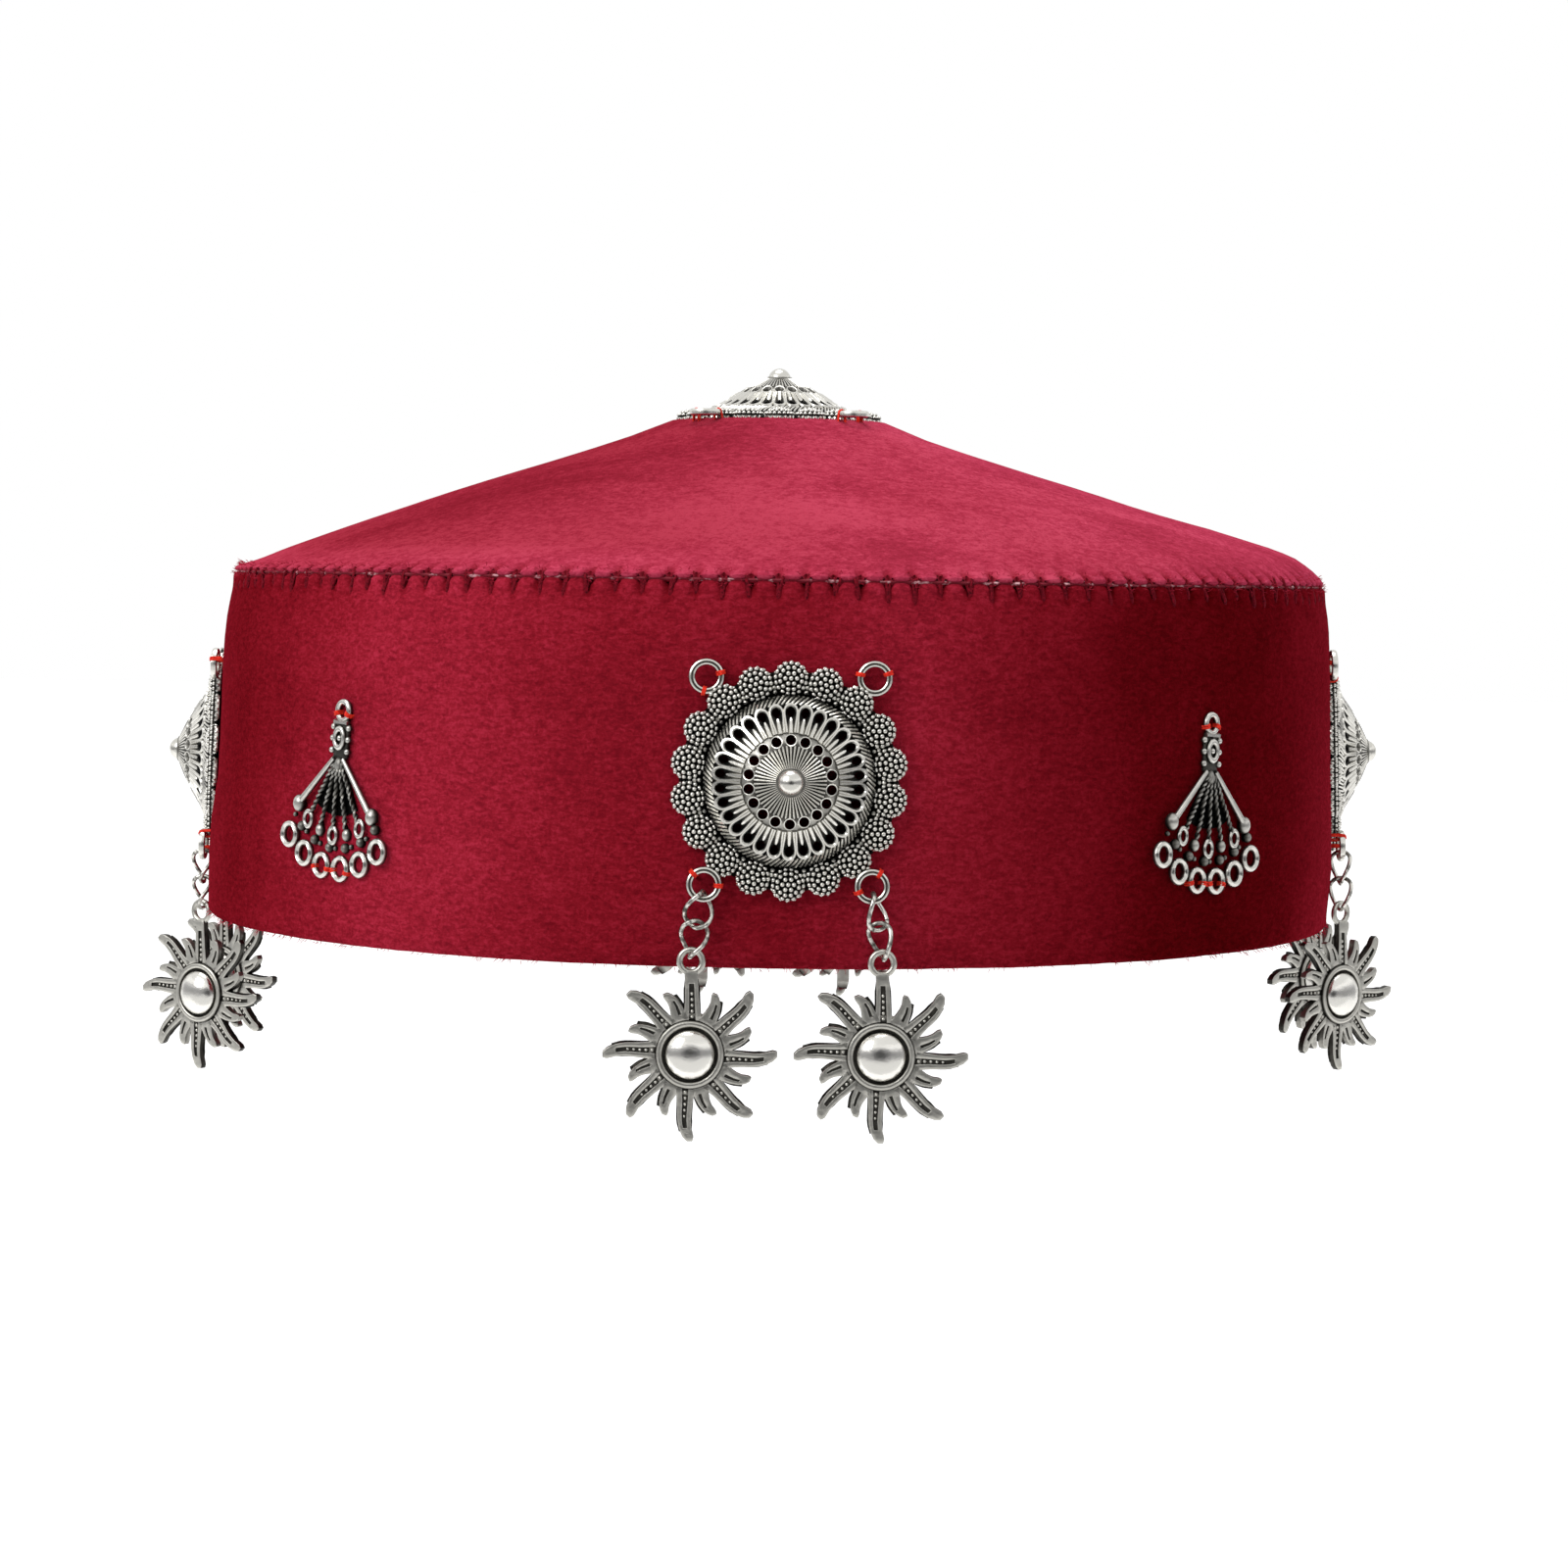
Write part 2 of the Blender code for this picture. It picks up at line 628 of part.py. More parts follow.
def put_chain(row, place, azimuth, sun, finishes):
    """Two links and a sun under one lower sewing ring."""
    medallion, side, twist, upper_turn, lower_turn, sun_turn = row
    number, lean = (2, -CHAIN_LEAN) if side == "left" else (3, CHAIN_LEAN)
    across, up = sewing_ring_places()[number]
    ring_middle = place @ Vector((across, up, RING_LIFT))
    plane = Matrix.Rotation(radians(azimuth), 4, "Z") @ FACING
    down = (plane @ Vector((sin(radians(lean)), -cos(radians(lean)), 0.0, 0.0))).to_3d()
    link = link_mesh(twist)
    half_link = (LINK_LENGTH - LINK_WIRE) / 2.0
    reach = RING_RADIUS - RING_WIRE - LINK_GAP - LINK_WIRE / 2.0 + half_link
    for part, turn in (("upper", upper_turn), ("lower", lower_turn)):
        middle = ring_middle + down * reach
        leaning = Matrix.Rotation(radians(lean), 4, "Z") @ Matrix.Rotation(radians(turn), 4, "Y")
        put(
            f"link_{medallion}_{side}_{part}",
            link,
            finishes["link_silver"],
            Matrix.Translation(middle) @ plane @ leaning,
        )
        reach += 2.0 * half_link - LINK_WIRE - LINK_GAP
    reach += LINK_WIRE / 2.0 - half_link - SUN_LOOP_WIRE / 2.0
    put(
        f"sun_{medallion}_{side}",
        sun,
        finishes["sun_silver"],
        hanging(ring_middle + down * reach, azimuth + sun_turn),
    )


def build():
    """The whole hat."""
    clear_scene()
    finishes = make_finishes()
    medallion, sun, fan = medallion_mesh(), sun_mesh(), fan_mesh()
    upright = Matrix.Identity(4)
    put("band", band_mesh(), finishes["band_velvet"], upright)
    put("crown", crown_mesh(), finishes["crown_velvet"], upright)
    silver = finishes["medallion_silver"]
    put("medallion_top", medallion, silver, Matrix.Translation((0.0, 0.0, CROWN_TOP + SEAT_GAP)))
    for name, azimuth, height in WALL_MEDALLIONS:
        place = on_wall(azimuth, height, MEDALLION_RADIUS)
        put(f"medallion_{name}", medallion, silver, place)
        for row in CHAINS:
            if row[0] == name:
                put_chain(row, place, azimuth, sun, finishes)
    for name, azimuth in FANS:
        place = on_wall(azimuth, FAN_HEIGHT, FAN_CUP_REACH, FAN_TURN)
        put(f"fan_{name}", fan, finishes["fan_silver"], place)


build()
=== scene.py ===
"""Looks of a velvet hat with cast silver ornaments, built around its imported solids.

The hat stands in metres, +Z up, with its front towards -Y and its origin in the middle of the
band's lower rim. Each piece is modelled in millimetres in its own frame and then put in place.
Angles are in degrees, and an azimuth runs from the front (0) towards +X (90).
"""

import json
import logging
import math
import random
from contextlib import contextmanager
from dataclasses import dataclass
from enum import Enum
from typing import Callable, Iterator, Sequence

import bmesh
import bpy
from mathutils import Matrix, Vector, noise


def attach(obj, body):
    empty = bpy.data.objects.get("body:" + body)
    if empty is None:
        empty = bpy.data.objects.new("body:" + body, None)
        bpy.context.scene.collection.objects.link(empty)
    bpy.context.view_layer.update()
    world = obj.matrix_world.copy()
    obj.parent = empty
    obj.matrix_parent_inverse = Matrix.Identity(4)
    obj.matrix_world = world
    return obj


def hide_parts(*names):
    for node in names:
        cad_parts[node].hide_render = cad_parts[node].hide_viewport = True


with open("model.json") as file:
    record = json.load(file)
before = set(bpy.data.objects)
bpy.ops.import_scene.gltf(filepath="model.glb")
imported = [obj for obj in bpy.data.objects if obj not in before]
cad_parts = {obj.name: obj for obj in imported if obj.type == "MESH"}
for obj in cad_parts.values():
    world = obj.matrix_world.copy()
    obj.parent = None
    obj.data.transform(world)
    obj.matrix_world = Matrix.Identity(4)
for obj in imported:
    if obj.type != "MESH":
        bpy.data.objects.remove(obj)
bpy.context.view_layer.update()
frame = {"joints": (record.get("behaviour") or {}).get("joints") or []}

log = logging.getLogger("hat")

MM = 0.001
SAME_PLACE = 1e-5
SENSOR = 36.0
# Where the points of a ray that have their shape wait, in millimetres past all the others.
CLEAR = 100.0
UPRIGHT_FACING = Matrix.Rotation(math.radians(90.0), 4, "X")
WEAR_AND_LIGHT = "wear_and_light"
NAP_AND_SHADE = "nap_and_shade"

Piece = bpy.types.Object
Finish = bpy.types.Material
Point = tuple[float, float]
Triple = tuple[float, float, float]
GranuleRow = tuple[int, float, float, float]
Stops = tuple[tuple[float, str], ...]
Rule = Callable[[Vector], float]


class Body(Enum):
    """The rigid bodies that pieces ride on."""

    HAT = "hat"


class Slot(Enum):
    """The record's material slots."""

    CROWN = "crown_velvet"
    BAND = "band_velvet"
    MEDALLION = "medallion_silver"
    FAN = "fan_silver"
    LINK = "link_silver"
    SUN = "sun_silver"


def between(rows: Sequence[Point], share: float) -> float:
    """Reads a two-column table at a share of its first column, in straight steps.

    Args:
        rows: Pairs in rising order of the first column.
        share: Where to read.

    Returns:
        The second column's value there.
    """
    for (low, start), (high, end) in zip(rows, rows[1:]):
        if share <= high:
            return start + (end - start) * (share - low) / (high - low)
    return rows[-1][1]


def eased(low: float, high: float, value: float) -> float:
    """How far a value is from low to high, from 0 to 1 with soft ends."""
    share = min(1.0, max(0.0, (value - low) / (high - low)))
    return share * share * (3.0 - 2.0 * share)


def on_circle(radius: float, turn: float, height: float = 0.0) -> Vector:
    """A point at a radius and at a turn in degrees, counter-clockwise from +X."""
    angle = math.radians(turn)
    return Vector((radius * math.cos(angle), radius * math.sin(angle), height))


def spots_round(count: int, radius: float, turn: float, height: float) -> list[Vector]:
    """Evenly spread points on a circle, of which the first is at a turn in degrees."""
    return [on_circle(radius, turn + 360.0 * index / count, height) for index in range(count)]


def about_z(turn: float) -> Matrix:
    """A turn about Z in degrees."""
    return Matrix.Rotation(math.radians(turn), 4, "Z")


def facing(azimuth: float) -> Matrix:
    """The turn of a piece that stands plumb and faces outwards: X across, Y up, Z out."""
    return about_z(azimuth) @ UPRIGHT_FACING


def alone(thing: Piece) -> None:
    """Makes a piece the only selected one and the active one."""
    bpy.ops.object.select_all(action="DESELECT")
    thing.select_set(True)
    bpy.context.view_layer.objects.active = thing


def primitive(kind: str, **settings: object) -> Piece:
    """Adds a mesh primitive with its place and turn applied.

    Args:
        kind: The operator's own word for it, such as "cylinder".
        settings: The operator's settings.

    Returns:
        The new object, alone in the selection.
    """
    bpy.ops.object.select_all(action="DESELECT")
    getattr(bpy.ops.mesh, f"primitive_{kind}_add")(**settings)
    bpy.ops.object.transform_apply(location=True, rotation=True, scale=True)
    return bpy.context.object


@contextmanager
def edit_mode(thing: Piece) -> Iterator[None]:
    """Edit mode for one piece, with everything deselected at its start."""
    alone(thing)
    bpy.ops.object.mode_set(mode="EDIT")
    bpy.ops.mesh.select_mode(type="VERT")
    bpy.ops.mesh.select_all(action="DESELECT")
    yield
    bpy.ops.object.mode_set(mode="OBJECT")


def pick(thing: Piece, test: Callable[[Vector], bool]) -> None:
    """Selects the points of a piece in edit mode whose place is wanted, and no others."""
    bpy.ops.mesh.select_all(action="DESELECT")
    mesh = bmesh.from_edit_mesh(thing.data)
    for point in mesh.verts:
        point.select_set(test(point.co))
    bmesh.update_edit_mesh(thing.data)


def close_up() -> None:
    """Merges doubled points of the piece in edit mode and turns its faces outwards."""
    bpy.ops.mesh.select_all(action="SELECT")
    bpy.ops.mesh.remove_doubles(threshold=SAME_PLACE)
    bpy.ops.mesh.normals_make_consistent(inside=False)


def turned(profile: Sequence[Point], sides: int, sweep: float = 360.0) -> Piece:
    """A shape turned about Z, as on a lathe.

    Args:
        profile: Points as (radius, height), with faces outwards if they run up the outer side.
        sides: How many steps the turn has.
        sweep: How far it turns, in degrees.

    Returns:
        The turned shape.
    """
    thing = primitive("plane", size=1.0)
    with edit_mode(thing):
        bpy.ops.mesh.select_all(action="SELECT")
        bpy.ops.mesh.merge(type="CENTER")
        bpy.ops.transform.translate(value=(profile[0][0], 0.0, profile[0][1]))
        for (near, low), (far, high) in zip(profile, profile[1:]):
            step = (far - near, 0.0, high - low)
            bpy.ops.mesh.extrude_region_move(TRANSFORM_OT_translate={"value": step})
    turn = thing.modifiers.new("turn", "SCREW")
    turn.angle = math.radians(sweep)
    turn.steps = turn.render_steps = sides
    bpy.ops.object.modifier_apply(modifier=turn.name)
    with edit_mode(thing):
        close_up()
    return thing


def strands(
    paths: Sequence[Sequence[Vector]],
    radius: float,
    fullness: int = 1,
    closed: bool = False,
    taper: Callable[[float], float] | None = None,
) -> Piece:
    """Round wires or threads along paths, as one mesh.

    Args:
        paths: The middle line of each strand.
        radius: The strands' radius.
        fullness: The bevel's resolution: 4 sides at 0, 6 at 1, 8 at 2.
        closed: Whether each strand runs back into its start.
        taper: The share of the radius at a share of the way along.

    Returns:
        The strands as a mesh object.
    """
    curve = bpy.data.curves.new("strands", "CURVE")
    curve.dimensions = "3D"
    curve.bevel_depth = radius
    curve.bevel_resolution = fullness
    curve.use_fill_caps = True
    for path in paths:
        spline = curve.splines.new("POLY")
        spline.points.add(len(path) - 1)
        spline.use_cyclic_u = closed
        for index, (point, place) in enumerate(zip(spline.points, path)):
            point.co = (*place, 1.0)
            point.radius = taper(index / (len(path) - 1)) if taper else 1.0
    thing = bpy.data.objects.new("strands", curve)
    bpy.context.scene.collection.objects.link(thing)
    alone(thing)
    bpy.ops.object.convert(target="MESH")
    return bpy.context.object


def moved(thing: Piece, place: Matrix) -> Piece:
    """Moves a piece's mesh and leaves its object at the origin."""
    thing.data.transform(place)
    return thing


def put_away(*things: Piece) -> None:
    """Removes templates and cutters that have done their work."""
    for thing in things:
        bpy.data.objects.remove(thing, do_unlink=True)


def copied(thing: Piece, places: Sequence[Matrix]) -> list[Piece]:
    """Copies of a piece, each with its own mesh, in place of the piece itself."""
    made = []
    for place in places:
        copy = thing.copy()
        copy.data = thing.data.copy()
        copy.data.transform(place)
        bpy.context.scene.collection.objects.link(copy)
        made.append(copy)
    put_away(thing)
    return made


def set_at(thing: Piece, spots: Sequence[Vector]) -> list[Piece]:
    """Copies of a piece moved to spots, in place of the piece itself."""
    return copied(thing, [Matrix.Translation(spot) for spot in spots])


def joined(pieces: Sequence[Piece]) -> Piece:
    """Joins pieces into the first of them."""
    alone(pieces[0])
    for piece in pieces:
        piece.select_set(True)
    bpy.ops.object.join()
    return bpy.context.object


def ringed(thing: Piece, count: int) -> Piece:
    """Repeats a piece evenly round Z with an Array modifier.

    Args:
        thing: The piece, at its place in the ring.
        count: How many there are.

    Returns:
        The ring of pieces as one object.
    """
    step = bpy.data.objects.new("step", None)
    step.rotation_euler.z = math.tau / count
    bpy.context.scene.collection.objects.link(step)
    array = thing.modifiers.new("ring", "ARRAY")
    array.count = count
    array.use_relative_offset = False
    array.use_object_offset = True
    array.offset_object = step
    alone(thing)
    bpy.ops.object.modifier_apply(modifier=array.name)
    put_away(step)
    return thing


def bevelled(thing: Piece, width: float, steps: int = 2) -> Piece:
    """Rounds a piece's sharp edges with an applied Bevel modifier."""
    bevel = thing.modifiers.new("edge", "BEVEL")
    bevel.width = width
    bevel.segments = steps
    bevel.limit_method = "ANGLE"
    bevel.angle_limit = math.radians(35.0)
    alone(thing)
    bpy.ops.object.modifier_apply(modifier=bevel.name)
    return thing


def pierced(thing: Piece, cutters: Piece) -> Piece:
    """Cuts a closed body with others and removes the cutters."""
    cut = thing.modifiers.new("openings", "BOOLEAN")
    cut.operation = "DIFFERENCE"
    cut.object = cutters
    alone(thing)
    bpy.ops.object.modifier_apply(modifier=cut.name)
    put_away(cutters)
    return thing


def smooth(thing: Piece, crease: float = 40.0) -> Piece:
    """Smooth shading that keeps creases over an angle."""
    alone(thing)
    bpy.ops.object.shade_smooth_by_angle(angle=math.radians(crease))
    return thing


def worn_and_lit(thing: Piece, rule: Rule) -> Piece:
    """Marks how bright handling has kept each point of a casting, from 0 in a recess to 1 on a top."""
    # The marks also carry painted light on the scallops' bosses and side granules.
    marks = thing.data.attributes.new(WEAR_AND_LIGHT, "FLOAT", "POINT")
    marks.data.foreach_set("value", [min(1.0, max(0.0, rule(p.co))) for p in thing.data.vertices])
    return thing


def rubbed(floor: float, gain: float, low: float, high: float) -> Rule:
    """A rule that makes a casting brighter with its height.

    Args:
        floor: The wear at the low height and under it.
        gain: How much is added up to the high height.
        low: The low height.
        high: The high height.

    Returns:
        The rule.
    """
    return lambda co: floor + gain * eased(low, high, co.z)


def half_ball(radius: float, sink: float) -> Piece:
    """A granule: a small ball whose lower part is cut off, since it sinks into what carries it.

    Args:
        radius: Its radius.
        sink: How far below its middle it is cut, as a share of the radius.

    Returns:
        The granule with its middle at the origin.
    """
    ball = primitive("ico_sphere", subdivisions=2, radius=radius)
    with edit_mode(ball):
        bpy.ops.mesh.select_all(action="SELECT")
        floor = (0.0, 0.0, -sink * radius)
        bpy.ops.mesh.bisect(plane_co=floor, plane_no=(0, 0, 1), clear_inner=True, use_fill=True)
    return worn_and_lit(ball, rubbed(0.35, 0.65, -sink * radius, 0.6 * radius))


def linear(code: str) -> tuple[float, float, float, float]:
    """Turns an sRGB hex colour to the linear values that a shader takes."""
    parts = [int(code[i:i + 2], 16) / 255.0 for i in (0, 2, 4)]
    red, green, blue = [v / 12.92 if v <= 0.04045 else ((v + 0.055) / 1.055) ** 2.4 for v in parts]
    return (red, green, blue, 1.0)


def add_node(
    tree: bpy.types.NodeTree,
    kind: str,
    settings: dict[str, object],
    inputs: dict[str | int, object],
) -> bpy.types.Node:
    """Adds a shader node.

    Args:
        tree: The material's node tree.
        kind: The node's type.
        settings: Its own fields; "stops" fills a colour ramp with (position, hex colour) pairs.
        inputs: A value, or another node's output to link, for each named or numbered socket.

    Returns:
        The node.
    """
    made = tree.nodes.new(kind)
    for name, value in settings.items():
        if name == "stops":
            ramp = made.color_ramp.elements
            for index, (position, code) in enumerate(value):
                stop = ramp[index] if index < 2 else ramp.new(position)
                stop.position = position
                stop.color = linear(code)
        else:
            setattr(made, name, value)
    for key, value in inputs.items():
        if isinstance(value, bpy.types.NodeSocket):
            tree.links.new(value, made.inputs[key])
        else:
            made.inputs[key].default_value = value
    return made


def per_mm(size: float) -> float:
    """A noise scale for features of a size in millimetres, on coordinates in metres."""
    return 1.0 / (size * MM)


def new_material(name: str) -> tuple[Finish, bpy.types.NodeTree, bpy.types.Node]:
    """A material with its tree and its Principled shader."""
    material = bpy.data.materials.new(name)
    material.use_nodes = True
    return material, material.node_tree, material.node_tree.nodes["Principled BSDF"]


@dataclass(frozen=True)
class Velvet:
    """Cut-pile velvet on stiff felt: deep in the pile, pale and rosy where brushed fibres catch light.

    The pile is 1 mm long. Its fibres are far finer than a pixel, so they are drawn as tufts, in
    longer streaks and wide patches. Each of the three has a size in millimetres and a weight, and
    the piece's nap_and_shade attribute says how much light its brushed zones send back, with
    painted light and shade in it.
    """

    name: str
    deep: str
    pile: str
    brushed: str
    sheen: str
    sheen_weight: float
    tuft: float = 0.5
    tuft_weight: float = 0.3
    streak: float = 1.5
    streak_weight: float = 0.36
    streak_turn: Triple = (0.25, 0.2, 0.2)
    streak_stretch: Triple = (1.0, 1.0, 2.4)
    patch: float = 16.0
    patch_weight: float = 0.15
    patch_stretch: Triple = (1.0, 1.0, 1.0)
    contrast: float = 0.09
    purity: float = 1.85
    ruffle: float = 1.4
    relief: float = 0.3
    sheen_roughness: float = 0.3

    def make(self) -> Finish:
        """Builds the material."""
        material, tree, shader = new_material(self.name)
        place = add_node(tree, "ShaderNodeTexCoord", {}, {}).outputs["Object"]
        nap_and_shade = add_node(tree, "ShaderNodeAttribute", {"attribute_name": NAP_AND_SHADE}, {}).outputs["Fac"]
        wide = add_node(tree, "ShaderNodeMapping", {}, {"Vector": place, "Scale": self.patch_stretch})
        slanted = add_node(
            tree, "ShaderNodeMapping", {},
            {"Vector": place, "Rotation": self.streak_turn, "Scale": self.streak_stretch},
        )
        made = []
        lean = 0.5 - 0.5 * (self.patch_weight + self.streak_weight + self.tuft_weight)
        for spot, size, weight in (
            (wide.outputs[0], self.patch, self.patch_weight),
            (slanted.outputs[0], self.streak, self.streak_weight),
            (place, self.tuft, self.tuft_weight),
        ):
            uneven = add_node(
                tree, "ShaderNodeTexNoise", {},
                {"Vector": spot, "Scale": per_mm(size), "Detail": 3.0, "Roughness": 0.6, "Distortion": 0.5},
            )
            made.append(uneven.outputs["Fac"])
            leaning = add_node(
                tree, "ShaderNodeMath", {"operation": "MULTIPLY_ADD"}, {0: made[-1], 1: weight, 2: lean},
            )
            lean = leaning.outputs[0]
        low, middle, high = 0.5 - self.contrast, 0.5, 0.5 + self.contrast
        colour = add_node(
            tree, "ShaderNodeValToRGB",
            {"stops": ((low, self.deep), (high, self.brushed), (middle, self.pile))}, {"Fac": lean},
        )
        # Painted light and shade: the colour is scaled by the nap_and_shade values, green and blue by their
        # power of purity, so the pile is a purer red where it is painted dark.
        purer = add_node(tree, "ShaderNodeMath", {"operation": "POWER"}, {0: nap_and_shade, 1: self.purity})
        shade = add_node(
            tree, "ShaderNodeCombineXYZ", {}, {"X": nap_and_shade, "Y": purer.outputs[0], "Z": purer.outputs[0]},
        )
        lit = add_node(
            tree, "ShaderNodeVectorMath", {"operation": "MULTIPLY"},
            {0: colour.outputs[0], 1: shade.outputs[0]},
        )
        streaks, tufts = made[1:]
        height = add_node(
            tree, "ShaderNodeMath", {"operation": "MULTIPLY_ADD"}, {0: streaks, 1: self.ruffle, 2: tufts},
        )
        bump = add_node(
            tree, "ShaderNodeBump", {},
            {"Height": height.outputs[0], "Strength": 0.5, "Distance": self.relief * MM},
        )
        tree.links.new(lit.outputs[0], shader.inputs["Base Color"])
        tree.links.new(bump.outputs[0], shader.inputs["Normal"])
        shader.inputs["Roughness"].default_value = 1.0
        shader.inputs["Specular IOR Level"].default_value = 0.0
        shader.inputs["Sheen Weight"].default_value = self.sheen_weight
        shader.inputs["Sheen Roughness"].default_value = self.sheen_roughness
        shader.inputs["Sheen Tint"].default_value = linear(self.sheen)
        return material


@dataclass(frozen=True)
class Yarn:
    """Spun sewing thread: a matt strand whose plies show as small light and dark flecks."""

    name: str
    dark: str
    light: str
    ply: float = 0.35
    dark_to: float = 0.3
    light_from: float = 0.7
    roughness: float = 0.75
    specular: float = 0.25
    relief: float = 0.1

    def make(self) -> Finish:
        """Builds the material."""
        material, tree, shader = new_material(self.name)
        place = add_node(tree, "ShaderNodeTexCoord", {}, {}).outputs["Object"]
        flecks = add_node(
            tree, "ShaderNodeTexNoise", {}, {"Vector": place, "Scale": per_mm(self.ply), "Detail": 2.0},
        )
        colour = add_node(
            tree, "ShaderNodeValToRGB",
            {"stops": ((self.dark_to, self.dark), (self.light_from, self.light))},
            {"Fac": flecks.outputs["Fac"]},
        )
        bump = add_node(
            tree, "ShaderNodeBump", {},
            {"Height": flecks.outputs["Fac"], "Strength": 0.5, "Distance": self.relief * MM},
        )
        tree.links.new(colour.outputs[0], shader.inputs["Base Color"])
        tree.links.new(bump.outputs[0], shader.inputs["Normal"])
        shader.inputs["Roughness"].default_value = self.roughness
        shader.inputs["Specular IOR Level"].default_value = self.specular
        return material


@dataclass(frozen=True)
class CastSilver:
    """Antique silver plate over cast zinc: black sulphide in the recesses, bright where it is rubbed.

    The piece's wear_and_light attribute says how far a point has been rubbed; on the scallops'
    bosses and side granules it holds painted light too.
    """

    name: str
    patina: str = "0d0d0c"
    dull: str = "55534e"
    bright: str = "cfcdc6"
    patina_to: float = 0.06
    dull_from: float = 0.34
    bright_from: float = 0.74
    rough_patina: float = 0.6
    rough_bright: float = 0.2
    grain: float = 0.22
    grain_depth: float = 0.05
    grain_bump: float = 0.18
    stain: float = 1.7
    stain_weight: float = 0.3
    dent_depth: float = 0.6
    dent_bump: float = 0.1

    def make(self) -> Finish:
        """Builds the material."""
        material, tree, shader = new_material(self.name)
        place = add_node(tree, "ShaderNodeTexCoord", {}, {}).outputs["Object"]
        wear_and_light = add_node(tree, "ShaderNodeAttribute", {"attribute_name": WEAR_AND_LIGHT}, {}).outputs["Fac"]
        stains = add_node(
            tree, "ShaderNodeTexNoise", {}, {"Vector": place, "Scale": per_mm(self.stain), "Detail": 4.0},
        )
        grains = add_node(
            tree, "ShaderNodeTexNoise", {}, {"Vector": place, "Scale": per_mm(self.grain), "Detail": 2.0},
        )
        uneven = add_node(
            tree, "ShaderNodeMath", {"operation": "MULTIPLY_ADD"},
            {0: stains.outputs["Fac"], 1: self.stain_weight, 2: wear_and_light},
        )
        shine = add_node(
            tree, "ShaderNodeMath", {"operation": "SUBTRACT"},
            {0: uneven.outputs[0], 1: self.stain_weight / 2.0},
        )
        colour = add_node(
            tree, "ShaderNodeValToRGB",
            {"stops": ((self.patina_to, self.patina), (self.bright_from, self.bright),
                       (self.dull_from, self.dull))},
            {"Fac": shine.outputs[0]},
        )
        rough = add_node(
            tree, "ShaderNodeMapRange", {},
            {"Value": shine.outputs[0], "To Min": self.rough_patina, "To Max": self.rough_bright},
        )
        dents = add_node(
            tree, "ShaderNodeBump", {},
            {"Height": stains.outputs["Fac"], "Strength": self.dent_bump, "Distance": self.dent_depth * MM},
        )
        bump = add_node(
            tree, "ShaderNodeBump", {},
            {"Height": grains.outputs["Fac"], "Strength": self.grain_bump,
             "Distance": self.grain_depth * MM, "Normal": dents.outputs[0]},
        )
        tree.links.new(colour.outputs[0], shader.inputs["Base Color"])
        tree.links.new(rough.outputs[0], shader.inputs["Roughness"])
        tree.links.new(bump.outputs[0], shader.inputs["Normal"])
        shader.inputs["Metallic"].default_value = 1.0
        return material


@dataclass(frozen=True)
class Wall:
    """The outer shape of the band and the crown, which carry the ornaments, in millimetres.

    A section of the band is a share of its height and of its lean; one of the crown is a share of
    the rim's radius and of the crown's rise.
    """

    head_radius: float = 91.5
    thickness: float = 2.5
    height: float = 56.8
    lean: float = 3.3
    seat_gap: float = 0.3
    seam_gap: float = 0.3
    crown_rise: float = 24.7
    crown_flat: float = 18.2
    sections: tuple[Point, ...] = (
        (0.00, 0.00), (0.25, 0.03), (0.55, 0.22), (0.80, 0.36), (0.92, 0.64), (1.00, 1.00),
    )
    crown_sections: tuple[Point, ...] = (
        (1.000, 0.000), (0.985, 0.052), (0.921, 0.158), (0.643, 0.494), (0.290, 0.890),
    )

    @property
    def rim(self) -> float:
        """The outer radius at the seam."""
        return self.head_radius + self.thickness - self.lean

    @property
    def top(self) -> float:
        """The height of the crown's flat middle."""
        return self.height + self.seam_gap + self.crown_rise

    def radius(self, height: float) -> float:
        """The band's outer radius at a height."""
        share = min(1.0, max(0.0, height / self.height))
        return self.head_radius + self.thickness - self.lean * between(self.sections, share)

    def crown_profile(self) -> list[Point]:
        """The crown's outer profile from the seam to its flat middle."""
        low = self.height + self.seam_gap
        rows = [(self.rim * r, low + self.crown_rise * z) for r, z in self.crown_sections]
        return rows + [(self.crown_flat, self.top)]

    def place(self, azimuth: float, height: float, reach: float, turn: float = 0.0) -> Matrix:
        """The place of an ornament whose flat back lies against the band.

        Args:
            azimuth: Where it is round the band.
            height: The height of its middle.
            reach: How far it reaches up and down from there.
            turn: Its own turn in its plane.

        Returns:
            The matrix of a frame with X across, Y up and Z out of the wall.
        """
        low, high = height - reach, height + reach
        bottom, top = self.radius(low), self.radius(high)
        tilt = math.atan2(bottom - top, high - low)
        proud = 0.0
        for share in (0.25, 0.5, 0.75):
            straight = bottom + (top - bottom) * share
            proud = max(proud, self.radius(low + (high - low) * share) - straight)
        radius = (bottom + top) / 2.0 + proud + self.seat_gap / math.cos(tilt)
        leaning = UPRIGHT_FACING @ Matrix.Rotation(-tilt, 4, "X")
        spot = Matrix.Translation((0.0, -radius, height))
        return about_z(azimuth) @ spot @ leaning @ about_z(turn)


WALL = Wall()


